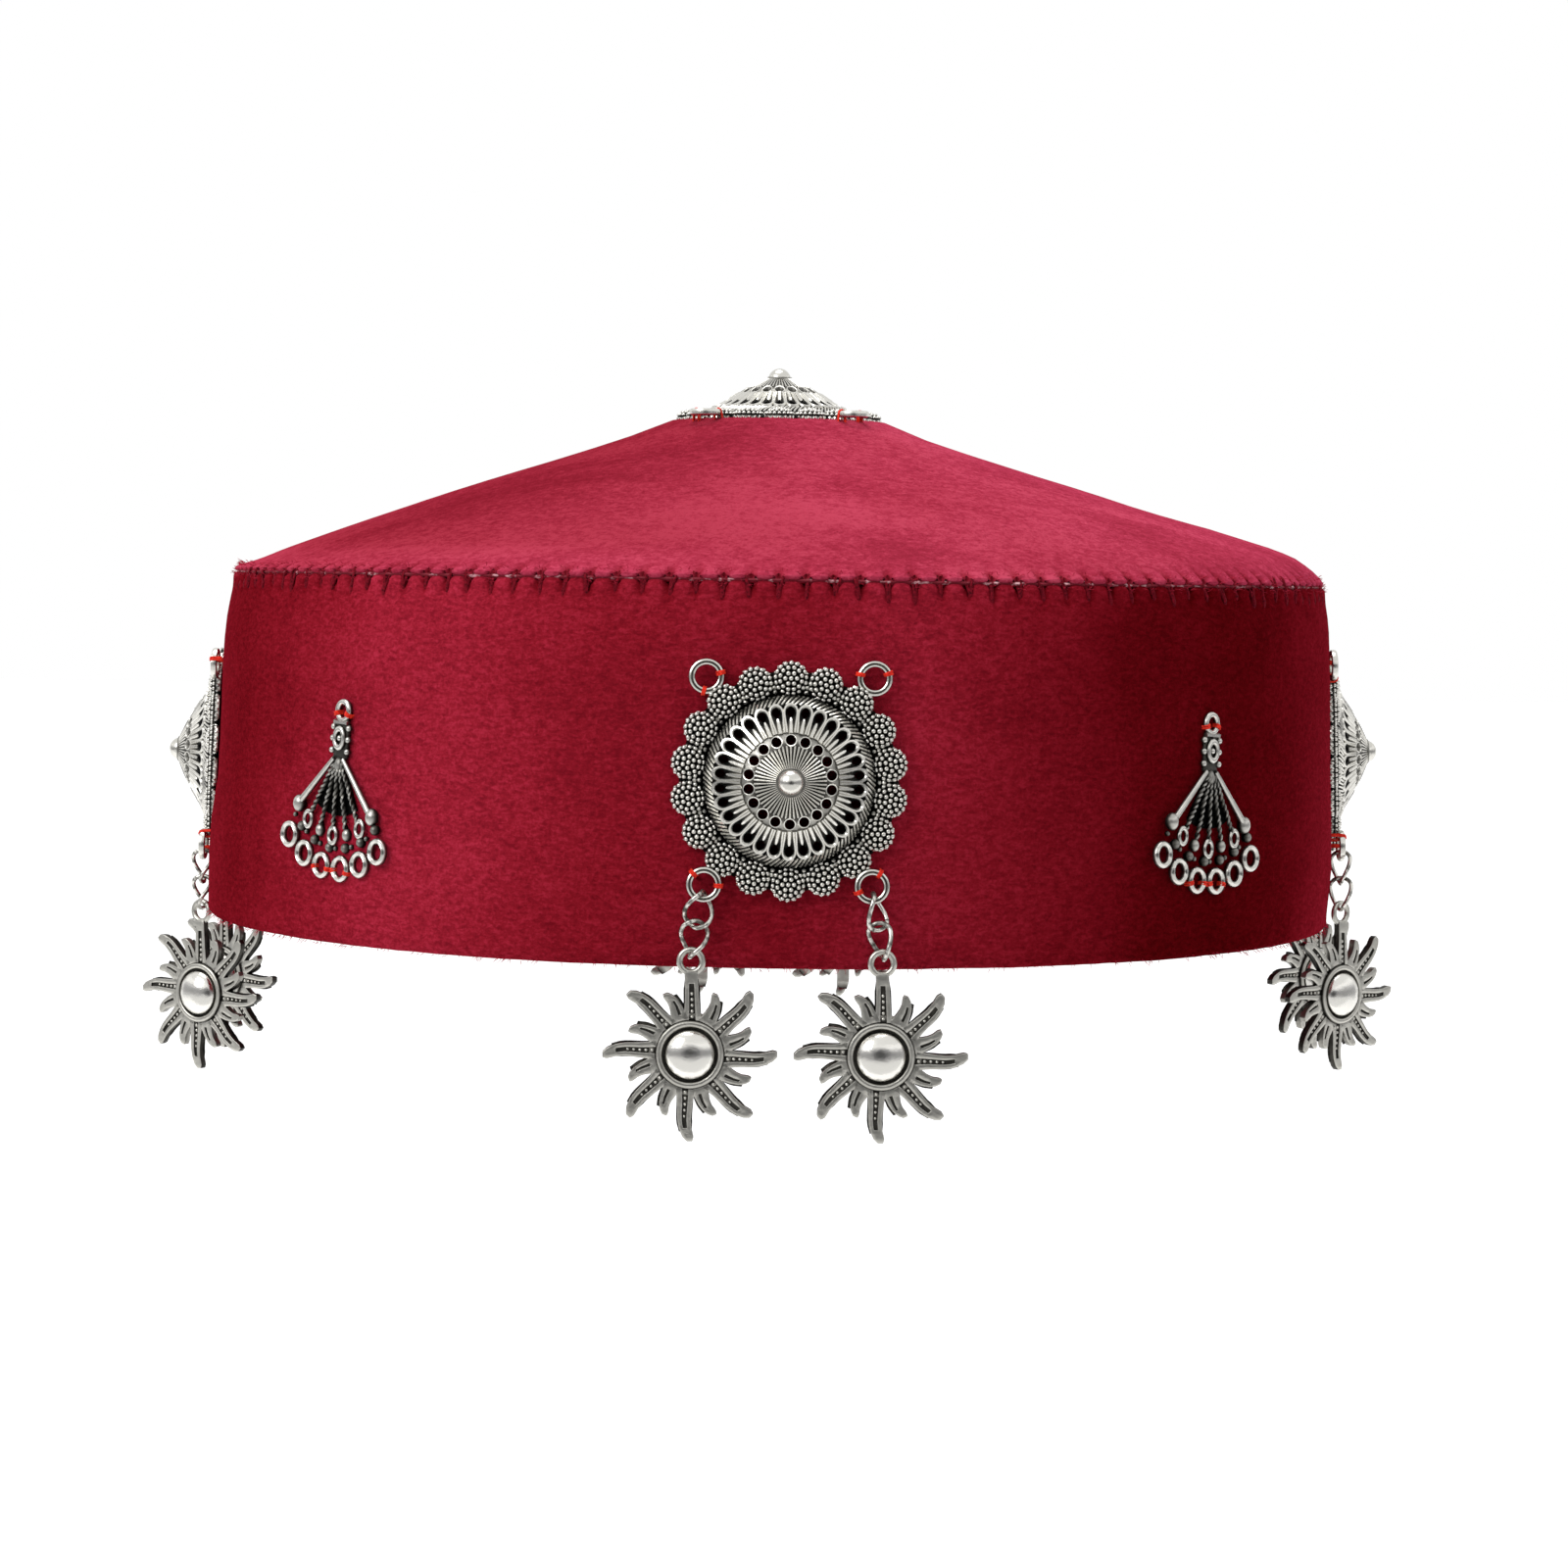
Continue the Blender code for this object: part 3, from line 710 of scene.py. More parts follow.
def put(
    template: Piece,
    name: str,
    place: Matrix,
    nodes: Sequence[str] = (),
    body: str = Body.HAT.value,
) -> None:
    """Puts a copy of a template in its place in metres and hands it to the frame.

    Args:
        template: The piece in millimetres in its own frame.
        name: The new piece's name.
        place: Its frame in the hat, in millimetres.
        nodes: The CAD nodes that it stands for.
        body: The body that it rides on.
    """
    piece = template.copy()
    piece.data = template.data.copy()
    piece.name = piece.data.name = name
    piece.data.transform(Matrix.Scale(MM, 4) @ place)
    bpy.context.scene.collection.objects.link(piece)
    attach(piece, body)
    if nodes:
        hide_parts(*nodes)
    piece.data.calc_loop_triangles()
    log.info("%s: %d triangles on %s", name, len(piece.data.loop_triangles), body)


def dressed(thing: Piece, *finishes: Finish) -> Piece:
    """Gives a piece its materials in place of any that it has."""
    thing.data.materials.clear()
    for finish in finishes:
        thing.data.materials.append(finish)
    return thing


@dataclass
class Medallion:
    """A pierced cast cone on a border of granulated scallops, with a ball on its tip.

    Lengths are out from its axis and heights are up from its back. X runs across, Y up, Z out.
    A row of granules is their count, their reach, the first one's turn and their height. A row of
    dome_wear is its gain and the radii where it starts, is full, fades and ends.
    """

    reach: float = 17.6
    scallops: int = 18
    lobe_radius: float = 2.55
    lobe_reach: float = 15.0
    lobe_rise: float = 1.9
    granule: float = 0.35
    granule_rings: tuple[GranuleRow, ...] = (
        (1, 0.0, 0.0, 1.9), (6, 0.84, 0.0, 1.82), (12, 1.6, 15.0, 1.58), (17, 2.22, 5.0, 1.12),
    )
    side_granules: GranuleRow = (15, 2.3, 17.0, 0.5)
    side_granule: float = 0.4025
    moat_granules: tuple[Point, ...] = ((13.15, 0.95), (13.85, 0.95))
    moat_rows: tuple[Point, ...] = (
        (11.6, 0.0), (15.8, 0.0), (16.1, 0.4), (15.8, 0.8), (12.9, 0.8), (12.5, 0.6), (11.6, 0.0),
    )
    dome_rows: tuple[Point, ...] = (
        (0.0, 8.1), (1.9, 7.75), (3.5, 7.0), (5.2, 6.1), (6.2, 5.52), (7.0, 4.95), (8.5, 3.95),
        (10.0, 3.1), (11.0, 2.6), (11.8, 2.2), (12.3, 1.85), (12.55, 1.4), (12.6, 0.4),
    )
    dome_wear: tuple[tuple[float, float, float, float, float], ...] = (
        (0.5, 5.1, 5.4, 6.95, 7.15), (0.4, -1.0, -0.5, 1.9, 2.2), (0.1, 7.0, 7.2, 8.9, 9.4),
        (0.02, 11.3, 11.6, 12.3, 12.5),
    )
    dome_sides: int = 120
    shell: float = 1.3
    shell_reach: float = 11.5
    foot: Point = (11.8, 0.4)
    arches: int = 30
    arch_rows: tuple[Point, ...] = (
        (7.15, 4.6), (8.2, 4.8), (9.3, 5.2), (10.0, 5.35), (10.5, 4.9), (10.9, 3.6), (11.15, 2.0),
        (11.23, 0.7),
    )
    arch_wire: float = 0.23
    arch_lift: float = 0.1
    tongue_start: float = 7.0
    tongue_end: float = 9.25
    tongue_wire: float = 0.36
    tongue_steps: int = 5
    drop_reach: float = 10.15
    drop_length: float = 0.7
    drop_width: float = 0.56
    holes: int = 18
    hole_reach: float = 6.1
    hole_radius: float = 0.75
    cutter: float = 6.0
    cutter_sides: int = 14
    collar: Point = (5.2, 7.0)
    lip_wire: float = 0.1
    wall_ribs: int = 108
    wall_rib_wire: float = 0.2
    wall_rib_slant: float = -5.6
    wall_rib_start: float = 11.2
    wall_rib_end: float = 12.45
    cone_ribs: int = 54
    cone_rib_wire: float = 0.115
    cone_rib_path: tuple[float, ...] = (2.0, 3.0, 4.1, 5.25)
    ball_radius: float = 1.95
    ball_height: float = 7.45
    seat_wire: float = 0.22
    ring_reach: float = 19.5
    ring_angle: float = 39.0
    ring_lift: float = 1.2
    ring_sink: float = 0.9
    ring_groove: float = 2.13
    ring_rows: tuple[Point, ...] = (
        (1.68, -0.35), (1.65, 0.1), (1.76, 0.45), (1.93, 0.55), (2.13, 0.32), (2.33, 0.55), (2.53, 0.45),
        (2.65, 0.1), (2.58, -0.35), (2.35, -0.52), (1.95, -0.52), (1.68, -0.35),
    )

    @property
    def ring_band(self) -> Point:
        """The inner and the outer radius of a sewing ring."""
        radii = [radius for radius, _ in self.ring_rows]
        return min(radii), max(radii)

    @property
    def ring_top(self) -> float:
        """How high a sewing ring's wire is over its middle."""
        return max(height for _, height in self.ring_rows)

    def rise(self, radius: float) -> float:
        """The dome's height at a radius."""
        return between(self.dome_rows, radius)

    def lifted(self, radius: float, turn: float, lift: float) -> Vector:
        """A point over the dome at a radius and a turn from the upright axis."""
        return on_circle(radius, 90.0 + turn, self.rise(radius) + lift)

    def relief_wear(self, depth: float, floor: float) -> Rule:
        """A rule that rubs a relief bright towards its top.

        Args:
            depth: How high the relief stands over the dome.
            floor: The wear at the dome's surface.

        Returns:
            The rule.
        """
        def rule(co: Vector) -> float:
            height = co.z - self.rise(co.xy.length)
            return floor + (1.0 - floor) * eased(-0.2 * depth, 0.8 * depth, height)
        return rule

    def make_lobes(self) -> Piece:
        """The scallops, each a low boss covered with granules, and two granules in each gap."""
        top, radius = self.lobe_rise, self.lobe_radius
        boss = turned(
            [(0.0, 0.02), (radius * 0.94, 0.02), (radius * 0.98, 0.35), (radius * 0.92, top * 0.5),
             (radius * 0.66, top * 0.78), (radius * 0.34, top * 0.94), (0.0, top)],
            14,
        )
        # The boss's top, between the granules, is black patina; its low sides are painted bright, a painted
        # highlight where they stand in shadow against the plate.
        worn_and_lit(boss, rubbed(0.75, -0.75, 0.3, 0.6))
        # The side granules are painted bright all round, their undersides too: painted light where they
        # stand in shadow.
        side = worn_and_lit(primitive("ico_sphere", subdivisions=1, radius=self.side_granule), lambda co: 0.95)
        sides = set_at(side, spots_round(*self.side_granules))
        spots = [spot for row in self.granule_rings for spot in spots_round(*row)]
        lobe = joined([boss] + sides + set_at(half_ball(self.granule, 0.35), spots))
        moved(lobe, Matrix.Translation((0.0, self.lobe_reach, 0.0)))
        filler = worn_and_lit(primitive("ico_sphere", subdivisions=1, radius=self.granule), lambda co: 0.8)
        gap = 90.0 + 180.0 / self.scallops
        fillers = set_at(filler, [on_circle(reach, gap, height) for reach, height in self.moat_granules])
        return ringed(joined([lobe] + fillers), self.scallops)

    def make_moat(self) -> Piece:
        """The blackened floor between the dome and the scallops."""
        return worn_and_lit(turned(self.moat_rows, 72), lambda co: 0.02)

    def make_dome(self) -> Piece:
        """The hollow cone, cut through by its round holes and its drops."""
        inside = [
            (max(0.0, radius - 0.3 * self.shell), height - self.shell)
            for radius, height in self.dome_rows if radius < self.shell_reach
        ]
        profile = [(0.0, inside[0][1])] + inside[1:] + [self.foot] + list(self.dome_rows[::-1])
        dome = turned(profile, self.dome_sides)
        hole = primitive("cylinder", vertices=self.cutter_sides, radius=self.hole_radius, depth=self.cutter,
                         location=(0.0, self.hole_reach, self.rise(self.hole_reach)))
        drop = primitive("cylinder", vertices=self.cutter_sides, radius=1.0, depth=self.cutter)
        shape = Matrix.Diagonal((self.drop_width, self.drop_length, 1.0, 1.0))
        moved(drop, Matrix.Translation((0.0, self.drop_reach, self.rise(self.drop_reach))) @ shape)
        pierced(dome, joined([ringed(hole, self.holes), ringed(drop, self.arches)]))

        def wear_and_light(co: Vector) -> float:
            radius = co.xy.length
            if co.z < self.rise(radius) - 0.25 * self.shell:
                return 0.0
            zones = [
                gain * eased(low, full, radius) * (1.0 - eased(fade, high, radius))
                for gain, low, full, fade, high in self.dome_wear
            ]
            return 0.03 + sum(zones)
        return worn_and_lit(dome, wear_and_light)

    def make_wall_ribs(self) -> Piece:
        """The fine slanting ribs on the steep foot of the dome."""
        path = []
        for share in (0.0, 0.35, 0.7, 1.0):
            radius = self.wall_rib_start + (self.wall_rib_end - self.wall_rib_start) * share
            path.append(self.lifted(radius, self.wall_rib_slant * share, 0.04))
        rib = strands([path], self.wall_rib_wire, 0)
        worn_and_lit(rib, self.relief_wear(self.wall_rib_wire, 0.08))
        return ringed(rib, self.wall_ribs)

    def make_arches(self) -> Piece:
        """The looped wires that frame the drops, with a tongue in each."""
        side = [self.lifted(radius, -turn, self.arch_lift) for radius, turn in self.arch_rows]
        other = [self.lifted(radius, turn, self.arch_lift) for radius, turn in self.arch_rows[::-1]]
        arch = strands(
            [side + other], self.arch_wire, 1,
            taper=lambda share: 1.3 - 0.45 * eased(0.12, 0.34, abs(share - 0.5)),
        )
        worn_and_lit(arch, self.relief_wear(1.6 * self.arch_wire, 0.3))
        step = (self.tongue_end - self.tongue_start) / self.tongue_steps
        path = [self.lifted(self.tongue_start + step * i, 0.0, 0.04) for i in range(self.tongue_steps + 1)]
        tongue = strands(
            [path], self.tongue_wire, 1, taper=lambda share: 1.0 - 0.5 * eased(0.8, 1.0, share),
        )
        worn_and_lit(tongue, self.relief_wear(1.3 * self.tongue_wire, 0.4))
        return ringed(joined([arch, tongue]), self.arches)

    def make_collar(self) -> Piece:
        """The lips of the round holes."""
        lip = primitive("torus", major_segments=14, minor_segments=5,
                        major_radius=self.hole_radius + self.lip_wire, minor_radius=self.lip_wire)
        lean = Matrix.Identity(4)
        start, end = self.collar
        lean[2][1] = (self.rise(end) - self.rise(start)) / (end - start)
        moved(lip, Matrix.Translation((0.0, self.hole_reach, self.rise(self.hole_reach))) @ lean)
        worn_and_lit(lip, lambda co: 0.85)
        return ringed(lip, self.holes)

    def make_cone_ribs(self) -> Piece:
        """The fine ribs that run from the ball to the round holes."""
        path = [self.lifted(radius, 0.0, 0.02) for radius in self.cone_rib_path]
        rib = strands([path], self.cone_rib_wire, 0, taper=lambda share: 0.5 + 0.8 * share)
        worn_and_lit(rib, self.relief_wear(1.1 * self.cone_rib_wire, 0.5))
        return ringed(rib, self.cone_ribs)

    def make_ball(self) -> Piece:
        """The bright ball on the tip and the low collar that it sits in."""
        ball = primitive("uv_sphere", segments=28, ring_count=14, radius=self.ball_radius,
                         location=(0.0, 0.0, self.ball_height))
        worn_and_lit(ball, lambda co: 1.0)
        seat = primitive("torus", major_segments=28, minor_segments=6, major_radius=self.ball_radius,
                         minor_radius=self.seat_wire, location=(0.0, 0.0, self.rise(self.ball_radius)))
        worn_and_lit(seat, lambda co: 0.45)
        return joined([ball, seat])

    def make_rings(self, sink: float) -> Piece:
        """The four grooved sewing rings, of which the upper two are drawn in towards the cloth."""
        ring = turned(self.ring_rows, 32)
        worn_and_lit(ring, lambda co: 0.28 if abs(co.xy.length - self.ring_groove) < 0.05 and co.z > 0.2 else 0.86)
        return joined(set_at(ring, self.ring_spots(sink)))

    def ring_spots(self, sink: float) -> list[Vector]:
        """The rings' middles, with the upper two sunk by a length."""
        return [Vector((x, y, self.ring_lift - (sink if y > 0.0 else 0.0))) for x, y in self.ring_places()]

    def ring_places(self) -> list[Point]:
        """Flat places of the rings: upper left, upper right, lower left, lower right."""
        angle = math.radians(self.ring_angle)
        across, up = self.ring_reach * math.sin(angle), self.ring_reach * math.cos(angle)
        return [(-across, up), (across, up), (-across, -up), (across, -up)]

    def build(self, finish: Finish, bend: float) -> Piece:
        """Builds the casting in its own frame.

        Args:
            finish: Its silver.
            bend: The radius that the casting is bent round by hand, or 0 for a flat one.

        Returns:
            The template, in millimetres.
        """
        casting = joined([
            self.make_dome(), self.make_moat(), self.make_lobes(), self.make_wall_ribs(),
            self.make_arches(), self.make_collar(), self.make_cone_ribs(), self.make_ball(),
        ])
        if bend:
            for point in casting.data.vertices:
                point.co.z -= point.co.x ** 2 / (2.0 * bend)
        rings = self.make_rings(self.ring_sink if bend else 0.0)
        return smooth(dressed(joined([casting, rings]), finish))


@dataclass
class Sun:
    """A cast sun with a mirror dome, wavy rays of two lengths and a loop to hang it by.

    Lengths are out from the middle of its disc. X runs across, Y up, Z out.
    """

    half_thickness: float = 0.6
    dome_radius: float = 3.78
    dome_rise: float = 2.1
    dome_sunk: float = 0.2
    dome_steps: int = 10
    disc_rows: tuple[Point, ...] = (
        (0.0, -0.6), (5.9, -0.6), (6.15, -0.35), (6.15, 0.15), (5.9, 0.42), (5.05, 0.5), (4.98, 0.86),
        (4.75, 1.02), (4.25, 1.02), (4.05, 0.86), (3.95, 0.4), (3.6, 0.35), (0.0, 0.35),
    )
    rays: int = 8
    long_ray: float = 12.75
    short_ray: float = 9.6
    ray_root: float = 5.0
    long_widths: tuple[Point, ...] = (
        (0.0, 3.0), (0.2, 2.4), (0.45, 2.1), (0.7, 1.9), (0.86, 1.75), (0.92, 1.6), (1.0, 0.8),
    )
    short_widths: tuple[Point, ...] = (
        (0.0, 2.8), (0.3, 2.1), (0.6, 1.65), (0.84, 1.45), (0.94, 1.15), (1.0, 0.7),
    )
    long_sway: tuple[Point, ...] = (
        (0.0, -7.0), (0.15, -5.6), (0.3, -4.9), (0.45, -4.7), (0.6, -4.2), (0.75, -2.9), (0.88, -1.0),
        (1.0, 0.6),
    )
    short_sway: tuple[Point, ...] = (
        (0.0, -5.5), (0.25, -5.6), (0.5, -5.2), (0.7, -3.8), (0.85, -1.8), (1.0, 0.4),
    )
    neck_widths: tuple[Point, ...] = ((0.0, 2.7), (0.3, 2.2), (0.7, 1.95), (1.0, 1.9))
    neck_sway: tuple[Point, ...] = ((0.0, -3.0), (0.4, -1.5), (1.0, 0.0))
    channel_depth: float = 0.34
    granule: float = 0.3
    granules: int = 5
    loop_reach: float = 13.65
    loop_radius: float = 1.675
    loop_wire: float = 0.475

    @property
    def pivot(self) -> float:
        """How far the hinge, at the loop's top wire, is over the disc's middle."""
        return self.loop_reach + self.loop_radius

    def make_ray(
        self,
        reach: float,
        widths: Sequence[Point],
        sway: Sequence[Point],
        channel: tuple[float, float, float, float],
        cells: int,
    ) -> Piece:
        """One ray along +Y, with a sunk channel between its raised edges.

        Each row of points is moved a clear way off once it is shaped, so that the next row's place
        picks that row alone.

        Args:
            reach: How far its tip is from the middle of the disc.
            widths: Its width at shares of its length.
            sway: The turn of its middle line at shares of its length, in degrees.
            channel: The channel's two sides as shares of the width, and its start and end as
                shares of the length.
            cells: How many steps it has along its length.

        Returns:
            The ray as a closed body.
        """
        near, far, start, end = channel
        ray = primitive("grid", x_subdivisions=3, y_subdivisions=cells, size=1.0)
        moved(ray, Matrix.Translation((0.0, 0.5, 0.0)))
        with edit_mode(ray):
            for column, share in ((-1.0 / 6.0, near), (1.0 / 6.0, far)):
                pick(ray, lambda co, c=column: abs(co.x - c) < 0.01)
                bpy.ops.transform.translate(value=(share - column, 0.0, 0.0))
            for step in range(cells + 1):
                share = step / cells
                length = self.ray_root + (reach - self.ray_root) * share
                width = between(widths, share)
                turn = math.radians(between(sway, share))
                pick(ray, lambda co, s=share: abs(co.y - s) < 0.01)
                bpy.ops.transform.resize(value=(width, 1.0, 1.0), center_override=(0.0, share, 0.0))
                bpy.ops.transform.translate(value=(0.0, length + CLEAR - share, 0.0))
                bpy.ops.transform.rotate(value=-turn, orient_axis="Z", center_override=(0.0, CLEAR, 0.0))
        moved(ray, Matrix.Translation((0.0, -CLEAR, 0.0)))
        return self.sink_channel(ray, reach, start, end)

    def sink_channel(self, ray: Piece, reach: float, start: float, end: float) -> Piece:
        """Presses the channel into a flat ray and gives the ray its thickness.

        Args:
            ray: The flat ray, three cells wide.
            reach: How far its tip is from the middle of the disc.
            start: Where the channel begins, as a share of the length.
            end: Where it ends.

        Returns:
            The finished ray.
        """
        first = self.ray_root + (reach - self.ray_root) * start
        last = self.ray_root + (reach - self.ray_root) * end
        with edit_mode(ray):
            bpy.ops.mesh.select_mode(type="FACE")
            mesh = bmesh.from_edit_mesh(ray.data)
            mesh.faces.ensure_lookup_table()
            middle = [face for index, face in enumerate(mesh.faces) if index % 3 == 1]
            for face in middle:
                face.select_set(first < face.calc_center_median().xy.length < last)
            bmesh.update_edit_mesh(ray.data)
            down = {"value": (0.0, 0.0, -self.channel_depth)}
            bpy.ops.mesh.extrude_region_move(TRANSFORM_OT_translate=down)
        wall = ray.modifiers.new("thickness", "SOLIDIFY")
        wall.thickness = 2.0 * self.half_thickness
        wall.offset = -1.0
        alone(ray)
        bpy.ops.object.modifier_apply(modifier=wall.name)
        moved(ray, Matrix.Translation((0.0, 0.0, self.half_thickness)))
        bevelled(ray, 0.2)
        top = self.half_thickness
        return worn_and_lit(ray, lambda co: 0.2 + 0.68 * eased(top - 0.1, top, abs(co.z)))

    def round_disc(self, ray: Piece, first: float, count: int) -> list[Piece]:
        """Copies of a ray round the disc, the first a number of steps on from its own place."""
        step = 360.0 / self.rays
        return copied(ray, [about_z(step * (first + i)) for i in range(count)])

    def make_long_rays(self) -> list[Piece]:
        """The seven long rays with granules in their channels."""
        ray = self.make_ray(self.long_ray, self.long_widths, self.long_sway, (-0.16, 0.16, 0.0, 0.72), 12)
        floor = self.half_thickness - self.channel_depth
        granule = half_ball(self.granule, 0.2)
        places = []
        for index in range(self.granules):
            share = 0.07 + 0.115 * index
            reach = self.ray_root + (self.long_ray - self.ray_root) * share
            spot = on_circle(reach, 90.0 + between(self.long_sway, share), floor + 0.05)
            places.append(Matrix.Translation(spot) @ Matrix.Scale(1.0 - 0.06 * index, 4))
        ray = joined([ray] + copied(granule, places))
        return self.round_disc(ray, 1.0, self.rays - 1)

    def make_short_rays(self) -> list[Piece]:
        """The eight short rays, whose channel lies along one side."""
        ray = self.make_ray(self.short_ray, self.short_widths, self.short_sway, (0.0, 0.2, 0.2, 0.75), 10)
        return self.round_disc(ray, 0.5, self.rays)

    def make_neck(self) -> Piece:
        """The straight ray that carries the loop, and the loop."""
        end = self.loop_reach - self.loop_radius + 0.2
        neck = self.make_ray(end, self.neck_widths, self.neck_sway, (-0.18, 0.18, 0.0, 0.75), 8)
        floor = self.half_thickness - self.channel_depth
        spots = [on_circle(5.5 + 0.85 * i, 87.4 + 0.4 * i, floor) for i in range(self.granules)]
        granules = set_at(half_ball(self.granule, 0.2), spots)
        loop = primitive("torus", major_segments=32, minor_segments=10, major_radius=self.loop_radius,
                         minor_radius=self.loop_wire, location=(0.0, self.loop_reach, 0.0))
        worn_and_lit(loop, lambda co: 0.8)
        return joined([neck, loop] + granules)

    def make_disc(self) -> Piece:
        """The disc with its raised ring and the groove inside it."""
        disc = turned(self.disc_rows, 64)

        def wear_and_light(co: Vector) -> float:
            radius = co.xy.length
            if co.z < -0.5:
                return 0.5
            if radius > 5.02:
                return 0.6 - 0.55 * (1.0 - eased(5.05, 5.5, radius))
            return 0.95 if co.z > 0.95 else 0.2
        return worn_and_lit(disc, wear_and_light)

    def make_dome(self) -> Piece:
        """The polished dome in the middle."""
        rows = [(self.dome_radius, 0.1)]
        low = self.half_thickness - self.dome_sunk
        for index in range(self.dome_steps + 1):
            angle = math.radians(90.0 * index / self.dome_steps)
            height = low + (self.dome_rise + self.dome_sunk) * math.sin(angle)
            rows.append((self.dome_radius * math.cos(angle), height))
        rows[-1] = (0.0, rows[-1][1])
        return worn_and_lit(turned(rows, 48), lambda co: 1.0)

    def build(self, cast: Finish, mirror: Finish) -> Piece:
        """Builds the casting with its origin where its loop hangs.

        Args:
            cast: The silver of its disc and rays.
            mirror: The polished silver of its dome.

        Returns:
            The template, in millimetres.
        """
        parts = [self.make_disc()] + self.make_long_rays() + self.make_short_rays() + [self.make_neck()]
        body = smooth(dressed(joined(parts), cast))
        dome = smooth(dressed(self.make_dome(), mirror), 60.0)
        return moved(joined([body, dome]), Matrix.Translation((0.0, -self.pivot, 0.0)))


@dataclass
class Fan:
    """A cast charm: roped rods that spread from a bezel to cups and a row of rings.

    Lengths are out from the point where the rods meet. X runs across, Y up, Z out.
    """

    rods: int = 7
    rod_angle: float = 15.5
    rod_end: float = 11.3
    rod_lift: float = 0.75
    rod_wire: float = 0.44
    rod_root: Point = (1.1, -0.7)
    rope_root: Point = (0.4, -1.3)
    rope_wire: float = 0.24
    rope_swing: float = 0.2
    rope_turns: float = 5.0
    rope_steps: int = 44
    web_rows: tuple[Point, ...] = ((2.6, 0.0), (9.2, 0.0), (9.2, 0.42), (2.6, 0.42), (2.6, 0.0))
    cup_reach: float = 12.2
    cup_lift: float = 0.55
    outer_cup: float = 1.35
    inner_cup: float = 1.0
    cup_shape: Triple = (0.86, 1.0, 0.72)
    open_cup: float = 1.08
    open_cup_wire: float = 0.36
    open_cup_lift: float = 0.15
    open_cup_shape: Triple = (0.86, 1.1, 1.0)
    pebble: float = 0.62
    pebble_reach: float = 14.1
    pebble_lift: float = 0.45
    pebble_side: float = 0.32
    ring_reach: float = 17.1
    ring_radius: float = 1.62
    ring_wire: float = 0.47
    ring_lift: float = 0.55
    neck_size: Triple = (3.2, 5.4, 0.7)
    neck_middle: float = 2.0
    bezel_reach: float = 2.4
    bezel_radius: float = 1.1
    bezel_wire: float = 0.38
    heart: float = 0.5
    side_ball: float = 0.52
    side_ball_across: float = 1.8
    side_ball_rows: tuple[float, ...] = (0.5, 2.3, 4.0)
    hump: float = 0.85
    hump_reach: float = 1.6
    bar_reach: float = 4.75
    bar_wire: float = 0.42
    loop_reach: float = 6.5
    loop_radius: float = 1.35
    loop_wire: float = 0.45
    loop_lift: float = 0.5
    longer: float = 1.027
    longer_shift: float = 0.4

    def below(self, angle: float, reach: float, height: float) -> Vector:
        """A point at a reach below the meeting point, at an angle from straight down."""
        return on_circle(reach, -90.0 + angle, height)

    def spread(self, count: int) -> list[float]:
        """The angle of each of a row of things from straight down, from left to right."""
        return [self.rod_angle * (i - (count - 1) / 2.0) for i in range(count)]

    def ring_angles(self) -> list[float]:
        """The angle of each ring from straight down, between two rods each."""
        return self.spread(self.rods - 1)

    def rope(self, start: Vector, way: Vector, phase: float) -> list[Vector]:
        """One of the two plies of a roped rod.

        Args:
            start: The rod's root.
            way: The way from its root to its end.
            phase: Where the ply starts round the rod, in radians.

        Returns:
            The ply's path.
        """
        aside = Vector((-way.y, way.x, 0.0)).normalized()
        path = []
        for step in range(self.rope_steps + 1):
            twist = phase + math.tau * self.rope_turns * step / self.rope_steps
            middle = start + way * step / self.rope_steps + aside * self.rope_swing * math.cos(twist)
            path.append(middle + Vector((0.0, 0.0, self.rod_lift + self.rope_swing * math.sin(twist))))
        return path

    def make_rods(self) -> list[Piece]:
        """The roped inner rods and the plain outer ones."""
        angles = self.spread(self.rods)
        apart, root = self.rope_root
        ropes = []
        for index, angle in enumerate(angles[1:-1]):
            start = Vector((apart * (index - 2), root, 0.0))
            way = self.below(angle, self.rod_end, 0.0) - start
            ropes += [self.rope(start, way, phase) for phase in (0.0, math.pi)]
        roped = strands(ropes, self.rope_wire, 0)
        worn_and_lit(roped, rubbed(0.08, 0.5, 0.75, 1.15))
        across, root = self.rod_root
        plain = []
        for angle, side in ((angles[0], -across), (angles[-1], across)):
            start = Vector((side, root, self.rod_lift))
            end = self.below(angle, self.rod_end, self.rod_lift)
            plain.append([start.lerp(end, i / 8.0) for i in range(9)])
        bars = strands(plain, self.rod_wire, 2, taper=lambda share: 0.85 + 0.35 * share)
        worn_and_lit(bars, rubbed(0.2, 0.6, 0.45, 1.1))
        return [roped, bars]

    def make_web(self) -> Piece:
        """The blackened web behind the rods."""
        span = self.rod_angle * (self.rods - 3)
        web = turned(self.web_rows, 24, span)
        with edit_mode(web):
            bpy.ops.mesh.select_all(action="SELECT")
            bpy.ops.mesh.select_non_manifold(extend=False)
            bpy.ops.mesh.edge_face_add()
            close_up()
        moved(web, about_z(-90.0 - span / 2.0))
        return worn_and_lit(web, lambda co: 0.0)

